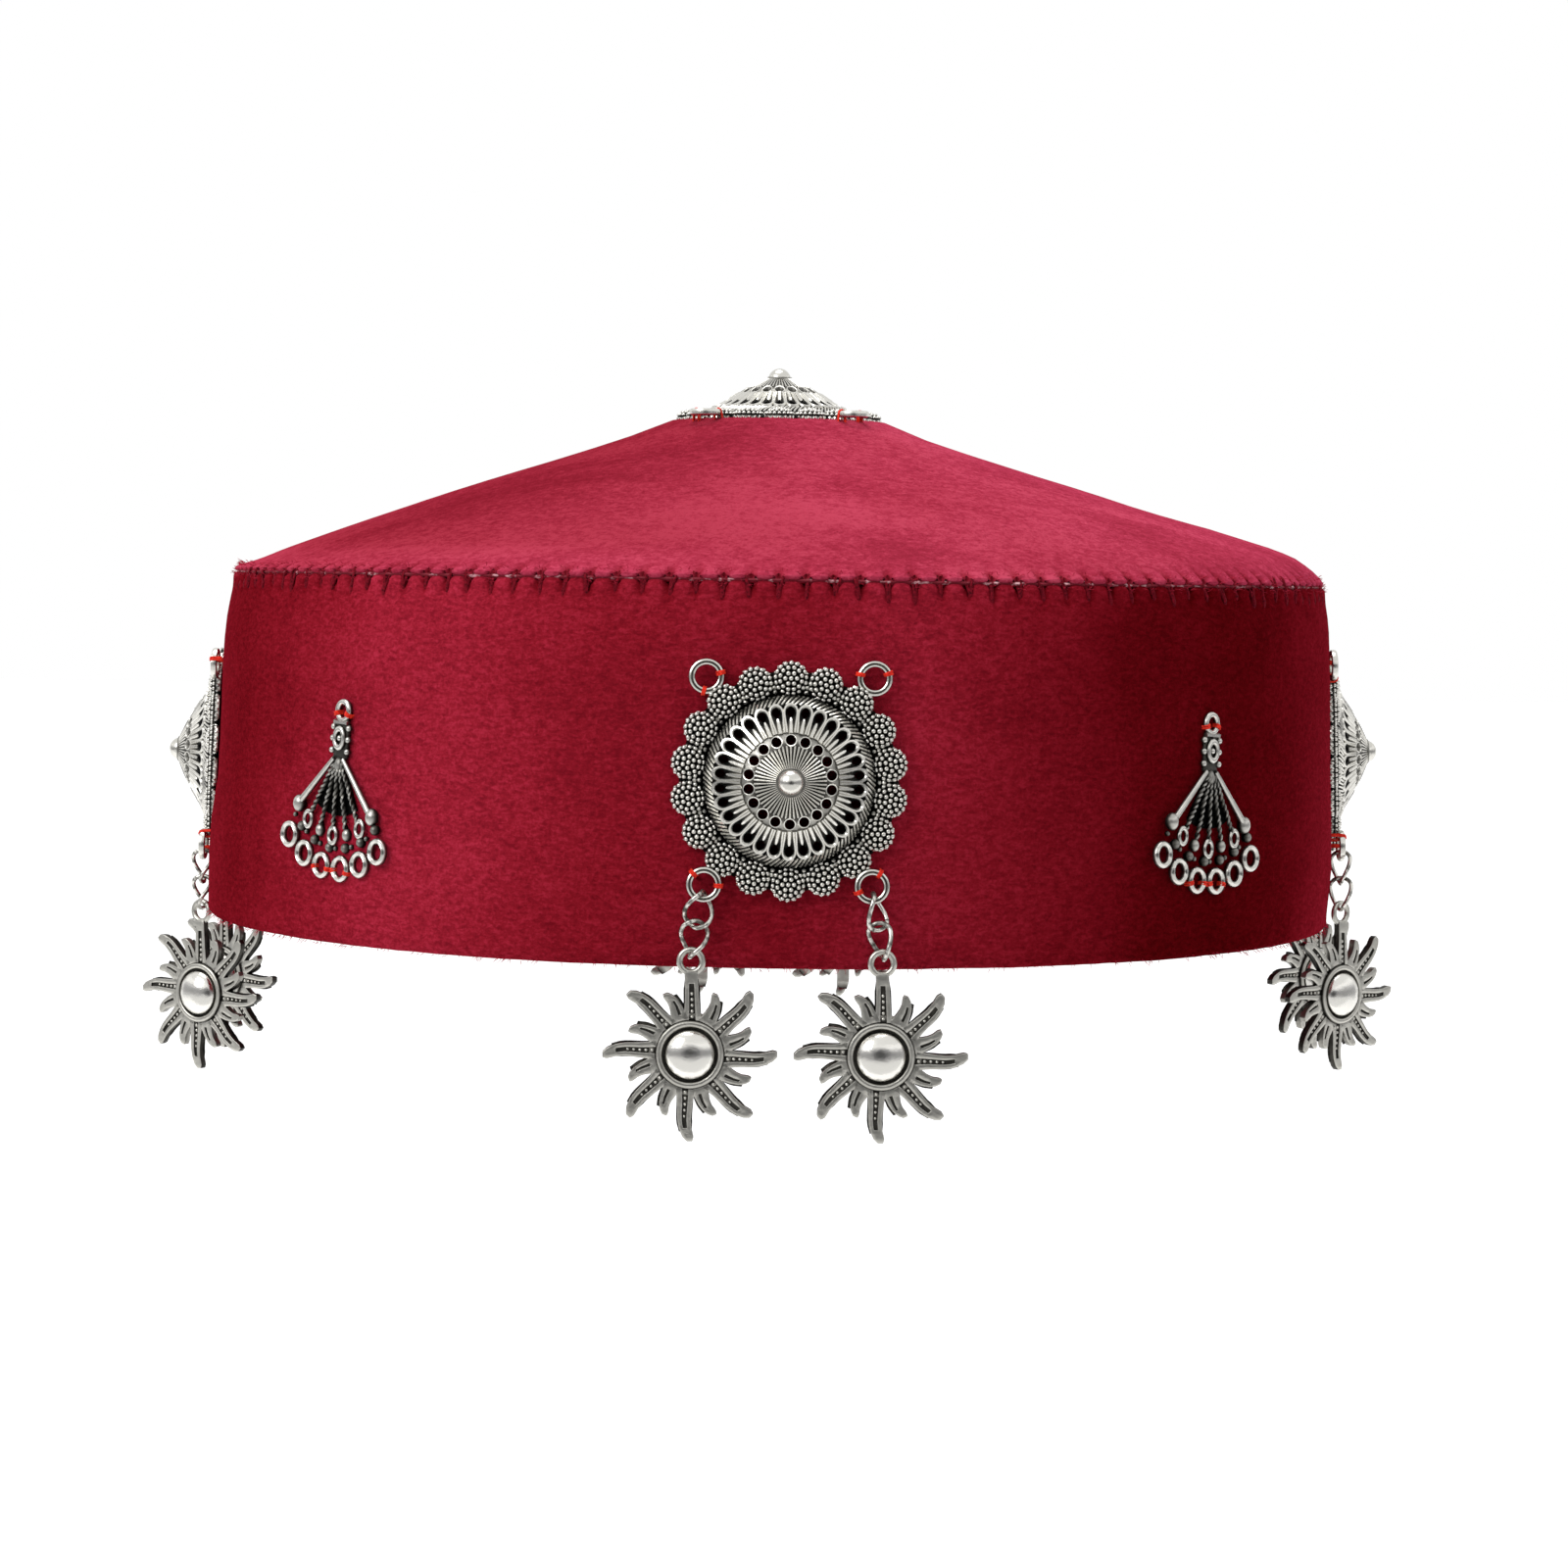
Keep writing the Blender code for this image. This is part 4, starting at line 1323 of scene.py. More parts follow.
    def make_cups(self) -> list[Piece]:
        """The domed and the open cups by turns."""
        made = []
        for index, angle in enumerate(self.spread(self.rods)):
            spot = self.below(angle, self.cup_reach, self.cup_lift)
            if index % 2 == 0:
                radius = self.outer_cup if index in (0, self.rods - 1) else self.inner_cup
                cup = primitive("uv_sphere", segments=16, ring_count=10, radius=radius)
                shape, wear_and_light = self.cup_shape, rubbed(0.15, 0.6, 0.6, 1.3)
            else:
                cup = primitive("torus", major_segments=20, minor_segments=8,
                                major_radius=self.open_cup, minor_radius=self.open_cup_wire)
                spot.z += self.open_cup_lift
                shape, wear_and_light = self.open_cup_shape, rubbed(0.2, 0.75, 0.5, 0.95)
            moved(cup, Matrix.Translation(spot) @ Matrix.Diagonal((*shape, 1.0)))
            made.append(worn_and_lit(cup, wear_and_light))
        return made

    def make_pebbles(self) -> list[Piece]:
        """The pebbles between the cups and the rings, small and large by turns."""
        pebble = primitive("ico_sphere", subdivisions=2, radius=self.pebble)
        worn_and_lit(pebble, rubbed(0.08, 0.5, 0.0, 0.8))
        places = []
        for angle in self.ring_angles():
            for side in (-self.pebble_side, self.pebble_side):
                spot = self.below(angle + side * self.rod_angle, self.pebble_reach, self.pebble_lift)
                places.append(Matrix.Translation(spot) @ Matrix.Scale(1.0 + side, 4))
        return copied(pebble, places)

    def make_rings(self) -> list[Piece]:
        """The row of round rings."""
        ring = primitive("torus", major_segments=24, minor_segments=8, major_radius=self.ring_radius,
                         minor_radius=self.ring_wire)
        moved(ring, Matrix.Diagonal((1.0, 1.0, 1.25, 1.0)))
        worn_and_lit(ring, rubbed(0.18, 0.8, -0.2, 0.3))
        spots = [self.below(angle, self.ring_reach, self.ring_lift) for angle in self.ring_angles()]
        return set_at(ring, spots)

    def make_head(self) -> list[Piece]:
        """The neck with its bezel, its small balls, the hump where the rods meet and the loop."""
        middle = (0.0, self.neck_middle, self.neck_size[2] / 2.0)
        neck = primitive("cube", size=1.0, location=middle, scale=self.neck_size)
        bevelled(neck, 0.25)
        worn_and_lit(neck, lambda co: 0.22)
        bezel = primitive("torus", major_segments=12, minor_segments=8, major_radius=self.bezel_radius,
                          minor_radius=self.bezel_wire)
        spot = Vector((0.0, self.bezel_reach, 0.95))
        moved(bezel, Matrix.Translation(spot) @ Matrix.Diagonal((1.0, 1.3, 1.0, 1.0)))
        worn_and_lit(bezel, rubbed(0.15, 0.8, 0.9, 1.3))
        ball = primitive("ico_sphere", subdivisions=2, radius=self.side_ball)
        worn_and_lit(ball, rubbed(0.2, 0.6, -0.1, 0.45))
        across = self.side_ball_across
        balls = set_at(ball, [Vector((x, y, 0.62)) for x in (-across, across) for y in self.side_ball_rows])
        hearts = set_at(half_ball(self.heart, 0.4), [Vector((0.0, self.bezel_reach, 0.8))])
        hump = primitive("uv_sphere", segments=14, ring_count=8, radius=self.hump)
        spot = Vector((0.0, -self.hump_reach, 0.5))
        moved(hump, Matrix.Translation(spot) @ Matrix.Diagonal((1.1, 1.5, 0.8, 1.0)))
        worn_and_lit(hump, rubbed(0.15, 0.4, 0.6, 1.2))
        path = [Vector((x, self.bar_reach, 0.7)) for x in (-1.6, -0.6, 0.6, 1.6)]
        bar = worn_and_lit(strands([path], self.bar_wire, 1), rubbed(0.2, 0.7, 0.6, 1.0))
        loop = primitive("torus", major_segments=28, minor_segments=10, major_radius=self.loop_radius,
                         minor_radius=self.loop_wire, location=(0.0, self.loop_reach, self.loop_lift))
        worn_and_lit(loop, rubbed(0.25, 0.75, 0.35, 0.8))
        return [neck, bezel, hump, bar, loop] + balls + hearts

    def build(self, finish: Finish) -> Piece:
        """Builds the casting in its own frame.

        Args:
            finish: Its silver.

        Returns:
            The template, in millimetres.
        """
        parts = [self.make_web()] + self.make_rods() + self.make_cups() + self.make_pebbles()
        parts += self.make_rings() + self.make_head()
        fan = smooth(dressed(joined(parts), finish), 50.0)
        return moved(fan, self.stretch())

    def stretch(self) -> Matrix:
        """How the real charm is a little longer than its solid."""
        longer = Matrix.Diagonal((1.0, self.longer, 1.0, 1.0))
        return Matrix.Translation((0.0, self.longer_shift, 0.0)) @ longer


@dataclass
class Chain:
    """Two twisted oval links under a sewing ring, in millimetres."""

    length: float = 6.1
    width: float = 4.8
    wire: float = 0.7
    gap: float = 0.3
    lean: float = 10.0
    steps: int = 48

    def make_link(self, twist: float, finish: Finish) -> Piece:
        """One link, upright along Y.

        Args:
            twist: How far it is twisted from end to end, in degrees.
            finish: Its silver.

        Returns:
            The link.
        """
        half_length, half_width = (self.length - self.wire) / 2.0, (self.width - self.wire) / 2.0
        straight = half_length - half_width
        path = []
        for index in range(self.steps):
            turn = math.tau * index / self.steps
            x, y = half_width * math.cos(turn), half_width * math.sin(turn)
            y += straight * max(-1.0, min(1.0, 2.0 * math.sin(turn)))
            spin = math.radians(twist) / 2.0 * y / half_length
            path.append(Vector((x * math.cos(spin), y, -x * math.sin(spin))))
        link = strands([path], self.wire / 2.0, 2, closed=True)
        worn_and_lit(link, lambda co: 0.3 + 1.5 * abs(noise.noise(co * 0.9)))
        return smooth(dressed(link, finish), 60.0)

    def places(
        self, ring: Vector, inner: float, azimuth: float, side: str, turns: Sequence[float]
    ) -> list[Matrix]:
        """Where the two links hang.

        Args:
            ring: The middle of the sewing ring.
            inner: The sewing ring's inner radius.
            azimuth: The medallion's place round the band.
            side: "left" or "right", as seen from outside.
            turns: How far each link is turned about the plumb line.

        Returns:
            The frame of the upper and of the lower link.
        """
        lean = -self.lean if side == "left" else self.lean
        plane = facing(azimuth)
        tilt = math.radians(lean)
        down = (plane @ Vector((math.sin(tilt), -math.cos(tilt), 0.0, 0.0))).to_3d()
        half = (self.length - self.wire) / 2.0
        reach = inner - self.gap - self.wire / 2.0 + half
        made = []
        for turn in turns:
            leaning = Matrix.Rotation(tilt, 4, "Z") @ Matrix.Rotation(math.radians(turn), 4, "Y")
            made.append(Matrix.Translation(ring + down * reach) @ plane @ leaning)
            reach += 2.0 * half - self.wire - self.gap
        return made


@dataclass
class VelvetSkin:
    """The velvet of the crown and of the band, drawn tight by the seam's stitches.

    The nap_and_shade tables say how bright the pile is at an azimuth: its brushed zones with
    painted light and shade, brightest at the front left of the band and darkest to its right.
    band_slant paints how that changes from the hem up to the seam, and the lift tables how far the
    crown stands over its cone at a radius.
    """

    columns: int = 1128
    stitches: int = 141
    seam_pull: float = 0.85
    seam_reach: float = 2.3
    stitch_share: float = 0.17
    puff: float = 0.32
    fullness: float = 0.2
    left_fullness: float = 0.25
    left_hem: float = 1.1
    right_side: float = 0.7
    right_top: float = 0.5
    sway: float = 0.22
    sway_scale: float = 0.045
    ripple: float = 0.07
    ripple_scale: float = 0.31
    # Painted light and shade in the pile's brightness: with the sway and the ripples, in the stitches'
    # dimples, on the puffs and on the crown's front left edge.
    sway_light: float = 0.07
    ripple_light: float = 0.04
    dimple_shade: float = 0.75
    puff_light: float = 0.45
    nap_and_shade_wander: float = 4.0
    nap_and_shade_wander_scale: float = 0.05
    edge_light: float = 0.3
    # Painted light and shade with the brushed pile round the band: brightest at the front left, darkest to
    # the right.
    band_nap_and_shade: tuple[Point, ...] = (
        (-90.0, 0.56), (-84.0, 0.48), (-78.0, 0.42), (-72.0, 0.39), (-66.0, 0.36), (-60.0, 0.42),
        (-54.0, 0.52), (-48.0, 0.59), (-42.0, 0.73), (-36.0, 0.74), (-30.0, 0.72), (-24.0, 0.62),
        (-18.0, 0.56), (-12.0, 0.53), (-6.0, 0.53), (0.0, 0.47), (6.0, 0.54), (12.0, 0.65),
        (18.0, 0.54), (24.0, 0.44), (30.0, 0.38), (36.0, 0.28), (42.0, 0.25), (48.0, 0.21),
        (54.0, 0.24), (60.0, 0.28), (66.0, 0.37), (72.0, 0.43), (78.0, 0.48), (90.0, 0.59),
    )
    band_slant: tuple[Point, ...] = (
        (-90.0, -0.1), (-66.0, -0.05), (-36.0, 0.0), (-12.0, 0.09), (24.0, 0.08), (36.0, 0.14), (48.0, 0.1),
        (60.0, 0.0), (72.0, -0.18), (90.0, 0.0),
    )
    # Painted light and shade with the brushed pile round the crown: darker at the left, brighter to the
    # right.
    crown_nap_and_shade: tuple[Point, ...] = (
        (-90.0, 0.45), (-60.0, 0.4), (-35.0, 0.44), (-12.0, 0.52), (8.0, 0.6), (30.0, 0.6), (60.0, 0.7),
        (90.0, 0.78),
    )
    left_lift: tuple[Point, ...] = (
        (18.2, 1.9), (20.0, 2.2), (25.0, 1.5), (35.0, 1.1), (50.0, 0.9), (60.0, 0.6), (72.0, 0.25),
        (79.0, -0.1), (86.0, -0.4), (90.0, 0.0),
    )
    right_lift: tuple[Point, ...] = (
        (18.2, 1.9), (20.0, 2.0), (25.0, 1.4), (35.0, 1.3), (46.0, 1.4), (62.0, 1.4), (73.0, 2.0),
        (83.0, 2.1), (87.0, 2.0), (89.5, 1.0), (90.6, 0.0),
    )
    band_heights: tuple[float, ...] = (0.9, 2.5, 5.5, 10.0, 16.0, 23.0, 30.0, 36.0, 41.5, 46.0, 49.5, 51.8)
    seam_rows: int = 9
    seam_step: float = 0.42
    crown_rows: int = 20
    corner: float = 3.0

    def pull(self, azimuth: float, distance: float) -> float:
        """How far the stitches draw the velvet in, near the seam.

        Args:
            azimuth: The place round the hat, in degrees.
            distance: The distance from the seam over the surface.

        Returns:
            The depth, negative where the velvet puffs out between two stitches.
        """
        share = (azimuth / 360.0 * self.stitches) % 1.0
        nearest = min(share, 1.0 - share)
        fade = math.exp(-((distance / self.seam_reach) ** 2))
        tight = math.exp(-((nearest / self.stitch_share) ** 2))
        return fade * (self.seam_pull * tight - self.puff * (1.0 - tight))

    def settle(self, skin: Piece, nap_and_shade_rows: Sequence[Point]) -> None:
        """Moves a smooth skin's points by the pull of the stitches and the cloth's own unevenness.

        Args:
            skin: The turned skin, in millimetres.
            nap_and_shade_rows: How bright it is at each azimuth, its brushed pile with painted light and
                shade.
        """
        nap_and_shade = skin.data.attributes.new(NAP_AND_SHADE, "FLOAT", "POINT")
        seam = WALL.height + WALL.seam_gap / 2.0
        values, settled = [], []
        for co, normal in [(point.co.copy(), point.normal.copy()) for point in skin.data.vertices]:
            azimuth = math.degrees(math.atan2(co.x, -co.y))
            reach = co.xy.length
            drawn = self.pull(azimuth, math.hypot(reach - WALL.rim, co.z - seam))
            slow = noise.noise(co * self.sway_scale)
            quick = noise.noise(co * self.ripple_scale + Vector((7.0, 1.0, 3.0)))
            spot = co - normal * (drawn + self.sway * 0.5 * (1.0 + slow) + self.ripple * quick)
            if reach > WALL.crown_flat:
                spot += co.xy.normalized().to_3d() * self.swell(azimuth, co.z) * eased(60.0, 88.0, reach)
            if co.z > (seam if reach > WALL.crown_flat else WALL.top - 1.0):
                spot.z += self.lift(azimuth, reach)
            settled.extend(spot)
            # Painted light and shade that follow the same sway and ripples that move the skin.
            uneven = 1.0 + self.sway_light * slow + self.ripple_light * quick
            values.append(uneven * self.brightness(nap_and_shade_rows, azimuth, co, drawn))
        nap_and_shade.data.foreach_set("value", values)
        skin.data.vertices.foreach_set("co", settled)

    def brightness(self, nap_and_shade_rows: Sequence[Point], azimuth: float, co: Vector, drawn: float) -> float:
        """How much light the pile sends back at a place.

        Args:
            nap_and_shade_rows: How bright the skin is at each azimuth, its brushed pile with painted light
                and shade.
            azimuth: The place round the hat, in degrees; the back mirrors the front.
            co: The place itself, in millimetres.
            drawn: How far the stitches draw the velvet in there.

        Returns:
            The brightness: painted shade in a dimple, a painted highlight on a puff and painted light at
                the crown's front left edge.
        """
        spot = Vector((azimuth, co.z, 0.0)) * self.nap_and_shade_wander_scale
        wander = azimuth + self.nap_and_shade_wander * noise.noise(spot)
        if abs(wander) > 90.0:
            wander = math.copysign(180.0, wander) - wander
        light = between(nap_and_shade_rows, wander)
        # Painted shade in the dimples at the stitches and painted highlights on the puffs between them.
        light *= 1.0 - self.dimple_shade * max(0.0, drawn) + self.puff_light * max(0.0, -drawn)
        seam = WALL.height + WALL.seam_gap / 2.0
        # Painted light on the crown's front left edge.
        if co.z > seam and -84.0 < azimuth < 0.0:
            light *= 1.0 + self.edge_light * eased(78.0, 88.0, co.xy.length) * eased(0.0, 20.0, -azimuth)
        # Painted light and shade that change from the hem up to the seam.
        if co.z < seam:
            light *= 1.0 + between(self.band_slant, wander) * (co.z / seam * 2.0 - 1.0)
        return light

    def swell(self, azimuth: float, height: float) -> float:
        """How far the stuffed velvet stands out beyond its felt at a place, in millimetres."""
        side = math.sin(math.radians(azimuth))
        left, right = max(0.0, -side) ** 2, max(0.0, side) ** 2
        made = self.fullness + self.left_fullness * left
        made += self.left_hem * left * (1.0 - eased(12.0, 26.0, height))
        made += self.right_side * right * eased(1.0, 10.0, height)
        return made + self.right_top * right * eased(44.0, 54.0, height)

    def lift(self, azimuth: float, reach: float) -> float:
        """How far the soft crown stands over its plain cone at a radius, in millimetres."""
        side = math.sin(math.radians(azimuth))
        share = eased(66.0, 84.0, reach)
        made = 0.0
        for rows, way in ((self.left_lift, -side), (self.right_lift, side)):
            weight = (1.0 + way) / 2.0
            weight += (max(0.0, way) ** 2 - weight) * share
            made += weight * between(rows, max(rows[0][0], reach))
        return made

    def make_band(self) -> Piece:
        """The band's skin, from its inner top edge round the hem to its outer top edge."""
        inner = WALL.radius(0.0) - WALL.thickness
        inner_top = WALL.rim - WALL.thickness
        rows = [(inner_top, WALL.height - 0.3), (inner_top + 0.1, WALL.height - 1.2)]
        rows += [(WALL.radius(h) - WALL.thickness, h) for h in (48.0, 28.0, 8.0)]
        rows += [(inner + 0.05, 0.9), (inner + 0.45, 0.22), (inner + 1.25, 0.0), (inner + 2.05, 0.22)]
        near_seam = [WALL.height - 0.6 - self.seam_step * i for i in reversed(range(self.seam_rows))]
        rows += [(self.band_radius(height), height) for height in (*self.band_heights, *near_seam)]
        rows += [(WALL.rim - 0.12, WALL.height - 0.25), (WALL.rim - 0.45, WALL.height), rows[0]]
        return turned(rows, self.columns)

    def band_radius(self, height: float) -> float:
        """The band's radius at a height, with the table's steps rounded off."""
        spread = [WALL.radius(height + self.corner * (i - 3) / 3.0) for i in range(7)]
        return sum(spread) / len(spread)

    def make_crown(self) -> Piece:
        """The crown's skin, from the middle of its underside over the rim to its flat top."""
        profile = WALL.crown_profile()
        drop = WALL.thickness * 1.05
        low = WALL.height + WALL.seam_gap
        inner = WALL.rim - WALL.thickness
        rows = [(0.0, WALL.top - drop), (WALL.crown_flat, WALL.top - drop)]
        rows += [(profile[3][0], profile[3][1] - drop), (inner, low + 0.3), (inner + 0.4, low)]
        rows += [(WALL.rim - 0.5, low), (WALL.rim - 0.12, low + 0.22)]
        outer = [(profile[0][0], profile[0][1] + 0.5)] + profile[1:]
        rows += self.rounded(outer, self.crown_rows)
        rows += [(WALL.crown_flat - 1.5, WALL.top), (9.0, WALL.top), (0.0, WALL.top)]
        return turned(rows, self.columns)

    def rounded(self, rows: Sequence[Point], count: int) -> list[Point]:
        """A profile read at even steps with its corners eased.

        Args:
            rows: The profile's points as (radius, height).
            count: How many steps to give it.

        Returns:
            The smoother profile, denser near its start.
        """
        table = sorted((radius, height) for radius, height in rows)
        outer, inner = rows[0][0], rows[-1][0]
        made = []
        for index in range(count + 1):
            radius = outer - (outer - inner) * (index / count) ** 2.0
            reach = min(self.corner, outer - radius, radius - inner)
            spread = [between(table, radius + reach * (i - 2) / 2.0) for i in range(5)]
            made.append((radius, sum(spread) / len(spread)))
        return made

    def build(self, band: Finish, crown: Finish) -> None:
        """Builds both skins and puts them in place.

        Args:
            band: The band's velvet.
            crown: The crown's velvet.
        """
        for name, skin, finish, slot, nap_and_shade_rows in (
            ("band", self.make_band(), band, Slot.BAND, self.band_nap_and_shade),
            ("crown", self.make_crown(), crown, Slot.CROWN, self.crown_nap_and_shade),
        ):
            self.settle(skin, nap_and_shade_rows)
            smooth(dressed(skin, finish), 80.0)
            put(skin, f"{name}_skin", Matrix.Identity(4), [name])
            put_away(skin)


@dataclass
class Seam:
    """The overcast stitches between band and crown, and the stiff edge that shows between them.

    The crown falls away from its rim: a step up it leads in by the share called inward, and its
    normal points out and up by the two shares of crown_normal.
    """

    skin: VelvetSkin
    below: float = 2.8
    above: float = 1.5
    spread: float = 0.55
    thread: float = 0.31
    shares: tuple[float, ...] = (0.0, 0.2, 0.42, 0.58, 0.72, 0.86, 1.0)
    inward: float = 0.78
    crown_normal: Point = (0.6, 0.8)
    snug: float = 0.85
    edge_overlap: float = 0.1
    edge_depth: float = 1.6
    seed: int = 11

    def over_edge(self, azimuth: float, along: float, lift: float) -> Vector:
        """A point on the velvet near the seam.

        Args:
            azimuth: The place round the hat, in degrees.
            along: How far over the seam, negative down the band and positive up the crown.
            lift: How far off the surface.

        Returns:
            The point.
        """
        if along < 0.0:
            height = WALL.height + along
            radius = self.skin.band_radius(height) + lift
        else:
            out, up = self.crown_normal
            radius = WALL.rim - along * self.inward
            cone = between(sorted(WALL.crown_profile()[:3]), radius)
            height = cone + lift * up + self.skin.lift(azimuth, radius)
            radius += lift * out
        radius += self.skin.swell(azimuth, height)
        radius -= self.skin.pull(azimuth, abs(along)) * self.snug
        return on_circle(radius, azimuth - 90.0, height)

    def build(self, thread: Finish, edge: Finish) -> None:
        """Builds the stitches and the edge.

        Args:
            thread: The dark sewing thread.
            edge: The dark fused edge with its painted pale glints.
        """
        self.make_stitches(thread)
        self.make_edge(edge)

    def make_stitches(self, thread: Finish) -> None:
        """Two strands to a stitch, together at its foot and apart at its head."""
        rng = random.Random(self.seed)
        step = 360.0 / self.skin.stitches
        degree = math.degrees(1.0 / WALL.rim)
        paths = []
        for index in range(self.skin.stitches):
            azimuth = step * (index + rng.uniform(-0.12, 0.12))
            foot = -self.below * rng.uniform(0.65, 1.1)
            slant = rng.uniform(-0.5, 0.5)
            for side in (-1.0, 1.0):
                spread = slant + self.spread * rng.uniform(0.2, 1.3) * side
                head = self.above * rng.uniform(0.3, 1.1)
                path = []
                for share in self.shares:
                    along = foot + (head - foot) * share
                    across = spread * share ** 1.6 * degree
                    lift = 0.02 if 0.05 < share < 0.95 else -0.35
                    path.append(self.over_edge(azimuth + across, along, lift))
                paths.append(path)
        drawn = strands(paths, self.thread, 1, taper=lambda share: 1.15 - 0.6 * share)
        stitches = smooth(dressed(drawn, thread), 60.0)
        put(stitches, "seam_stitches", Matrix.Identity(4))
        put_away(stitches)

    def make_edge(self, edge: Finish) -> None:
        """The strip between the two cloths."""
        low, high = WALL.height - self.edge_overlap, WALL.height + WALL.seam_gap + self.edge_overlap
        deep = WALL.rim - self.edge_depth
        strip = turned(
            [(deep, low), (WALL.rim - 0.3, low), (WALL.rim - 0.1, (low + high) / 2.0),
             (WALL.rim - 0.3, high), (deep, high), (deep, low)],
            360,
        )
        for point in strip.data.vertices:
            azimuth = math.degrees(math.atan2(point.co.x, -point.co.y))
            point.co += point.co.xy.normalized().to_3d() * self.skin.swell(azimuth, point.co.z)
        smooth(dressed(strip, edge))
        put(strip, "seam_edge", Matrix.Identity(4))
        put_away(strip)


@dataclass
class Fuzz:
    """Loose pile fibres that show against the light along the hem, the rim and the seam."""

    skin: VelvetSkin
    count: int = 3000
    length: float = 0.9
    thickness: float = 0.055
    fan_out: float = 50.0
    root_depth: float = 0.3
    hem: float = 0.15
    rim_places: tuple[float, ...] = (-0.7, 0.1, 1.2)
    seed: int = 23

    def fibre(self, rng: random.Random, azimuth: float, height: float) -> list[Vector]:
        """One bent fibre.

        Args:
            rng: The source of chance.
            azimuth: Its root's place round the hat, in degrees.
            height: Its root's height.

        Returns:
            Its three points.
        """
        swell = self.skin.swell(azimuth, height)
        if height > WALL.height:
            table = sorted(WALL.crown_profile())
            radius = WALL.rim - (height - WALL.height) * 0.4
            root = on_circle(radius + swell - 0.25, azimuth - 90.0, max(height, between(table, radius)))
        else:
            reach = self.skin.band_radius(height) + swell - self.root_depth
            root = on_circle(reach, azimuth - 90.0, height)
        out = on_circle(1.0, azimuth - 90.0 + rng.uniform(-self.fan_out, self.fan_out))
        down = -0.8 if height < 1.0 else rng.uniform(-0.3, 0.9)
        way = (out + Vector((0.0, 0.0, down))).normalized() * self.length * rng.uniform(0.6, 1.3)
        sag = Vector((rng.uniform(-0.15, 0.15), rng.uniform(-0.15, 0.15), rng.uniform(-0.1, 0.2)))
        return [root, root + way * 0.55 + sag, root + way]

    def build(self, finish: Finish) -> None:
        """Builds the fibres as one piece."""
        rng = random.Random(self.seed)
        paths = []
        places = [self.hem] + [WALL.height + place for place in self.rim_places]
        for index in range(self.count):
            azimuth = rng.uniform(-180.0, 180.0)
            height = places[index % len(places)] + rng.uniform(-0.1, 0.5)
            paths.append(self.fibre(rng, azimuth, height))
        fuzz = strands(paths, self.thickness, 0, taper=lambda share: 1.0 - 0.7 * share)
        dressed(fuzz, finish)
        put(fuzz, "pile_fuzz", Matrix.Identity(4))
        put_away(fuzz)


@dataclass(frozen=True)
class TiedWire:
    """The wire of a ring that a thread goes over: its two radii, its top's height and the cloth's."""

    inner: float
    outer: float
    top: float
    cloth: float


@dataclass
class SewingThread:
    """Bright thread that ties a casting's rings to the velvet, two wraps to a ring.

    A row of loop says how far a wrap is across the wire, as a share of half its width from its
    middle, and how high it is there, as a share of the wire's top.
    """

    radius: float = 0.14
    strands_per_wrap: int = 3
    pitch: float = 0.2
    loop: tuple[Point, ...] = (
        (-1.3, 0.0), (-1.15, 0.35), (-0.8, 0.85), (0.0, 1.0), (0.8, 0.85), (1.15, 0.35), (1.3, 0.0),
    )
    seed: int = 5

    def wrap(self, ring: Vector, turn: float, wire: TiedWire) -> list[list[Vector]]:
        """The strands of one wrap over a ring's wire.

        Args:
            ring: The ring's middle.
            turn: Where on the ring the wrap is, in degrees from +X.
            wire: The ring's wire.

        Returns:
            The path of each strand.
        """
        rng = random.Random(self.seed + int(turn) + int(ring.x * 10.0))
        middle, half = (wire.inner + wire.outer) / 2.0, (wire.outer - wire.inner) / 2.0
        low = ring.z * 0.3
        made = []
        for index in range(self.strands_per_wrap):
            aside = (index - (self.strands_per_wrap - 1) / 2.0) * self.pitch + rng.uniform(-0.05, 0.05)
            skew = rng.uniform(-0.25, 0.25)
            path = []
            for share, rise in self.loop:
                spot = on_circle(middle + half * share, turn)
                across = on_circle(aside + skew * share * 0.3, turn + 90.0)
                height = low + (wire.top + self.radius - low) * rise
                path.append(Vector((ring.x + spot.x + across.x, ring.y + spot.y + across.y, height)))
            path[0].z = path[-1].z = wire.cloth
            made.append(path)
        return made

    def build(self, name: str, wraps: Sequence[list[list[Vector]]], finish: Finish) -> Piece:
        """Joins wraps to one piece of thread work.

        Args:
            name: What the thread ties.
            wraps: The strands of each wrap.
            finish: The thread.

        Returns:
            The template, in the casting's own frame.
        """
        paths = [path for wrap in wraps for path in wrap]
        made = smooth(dressed(strands(paths, self.radius, 0), finish), 60.0)
        made.name = name
        return made


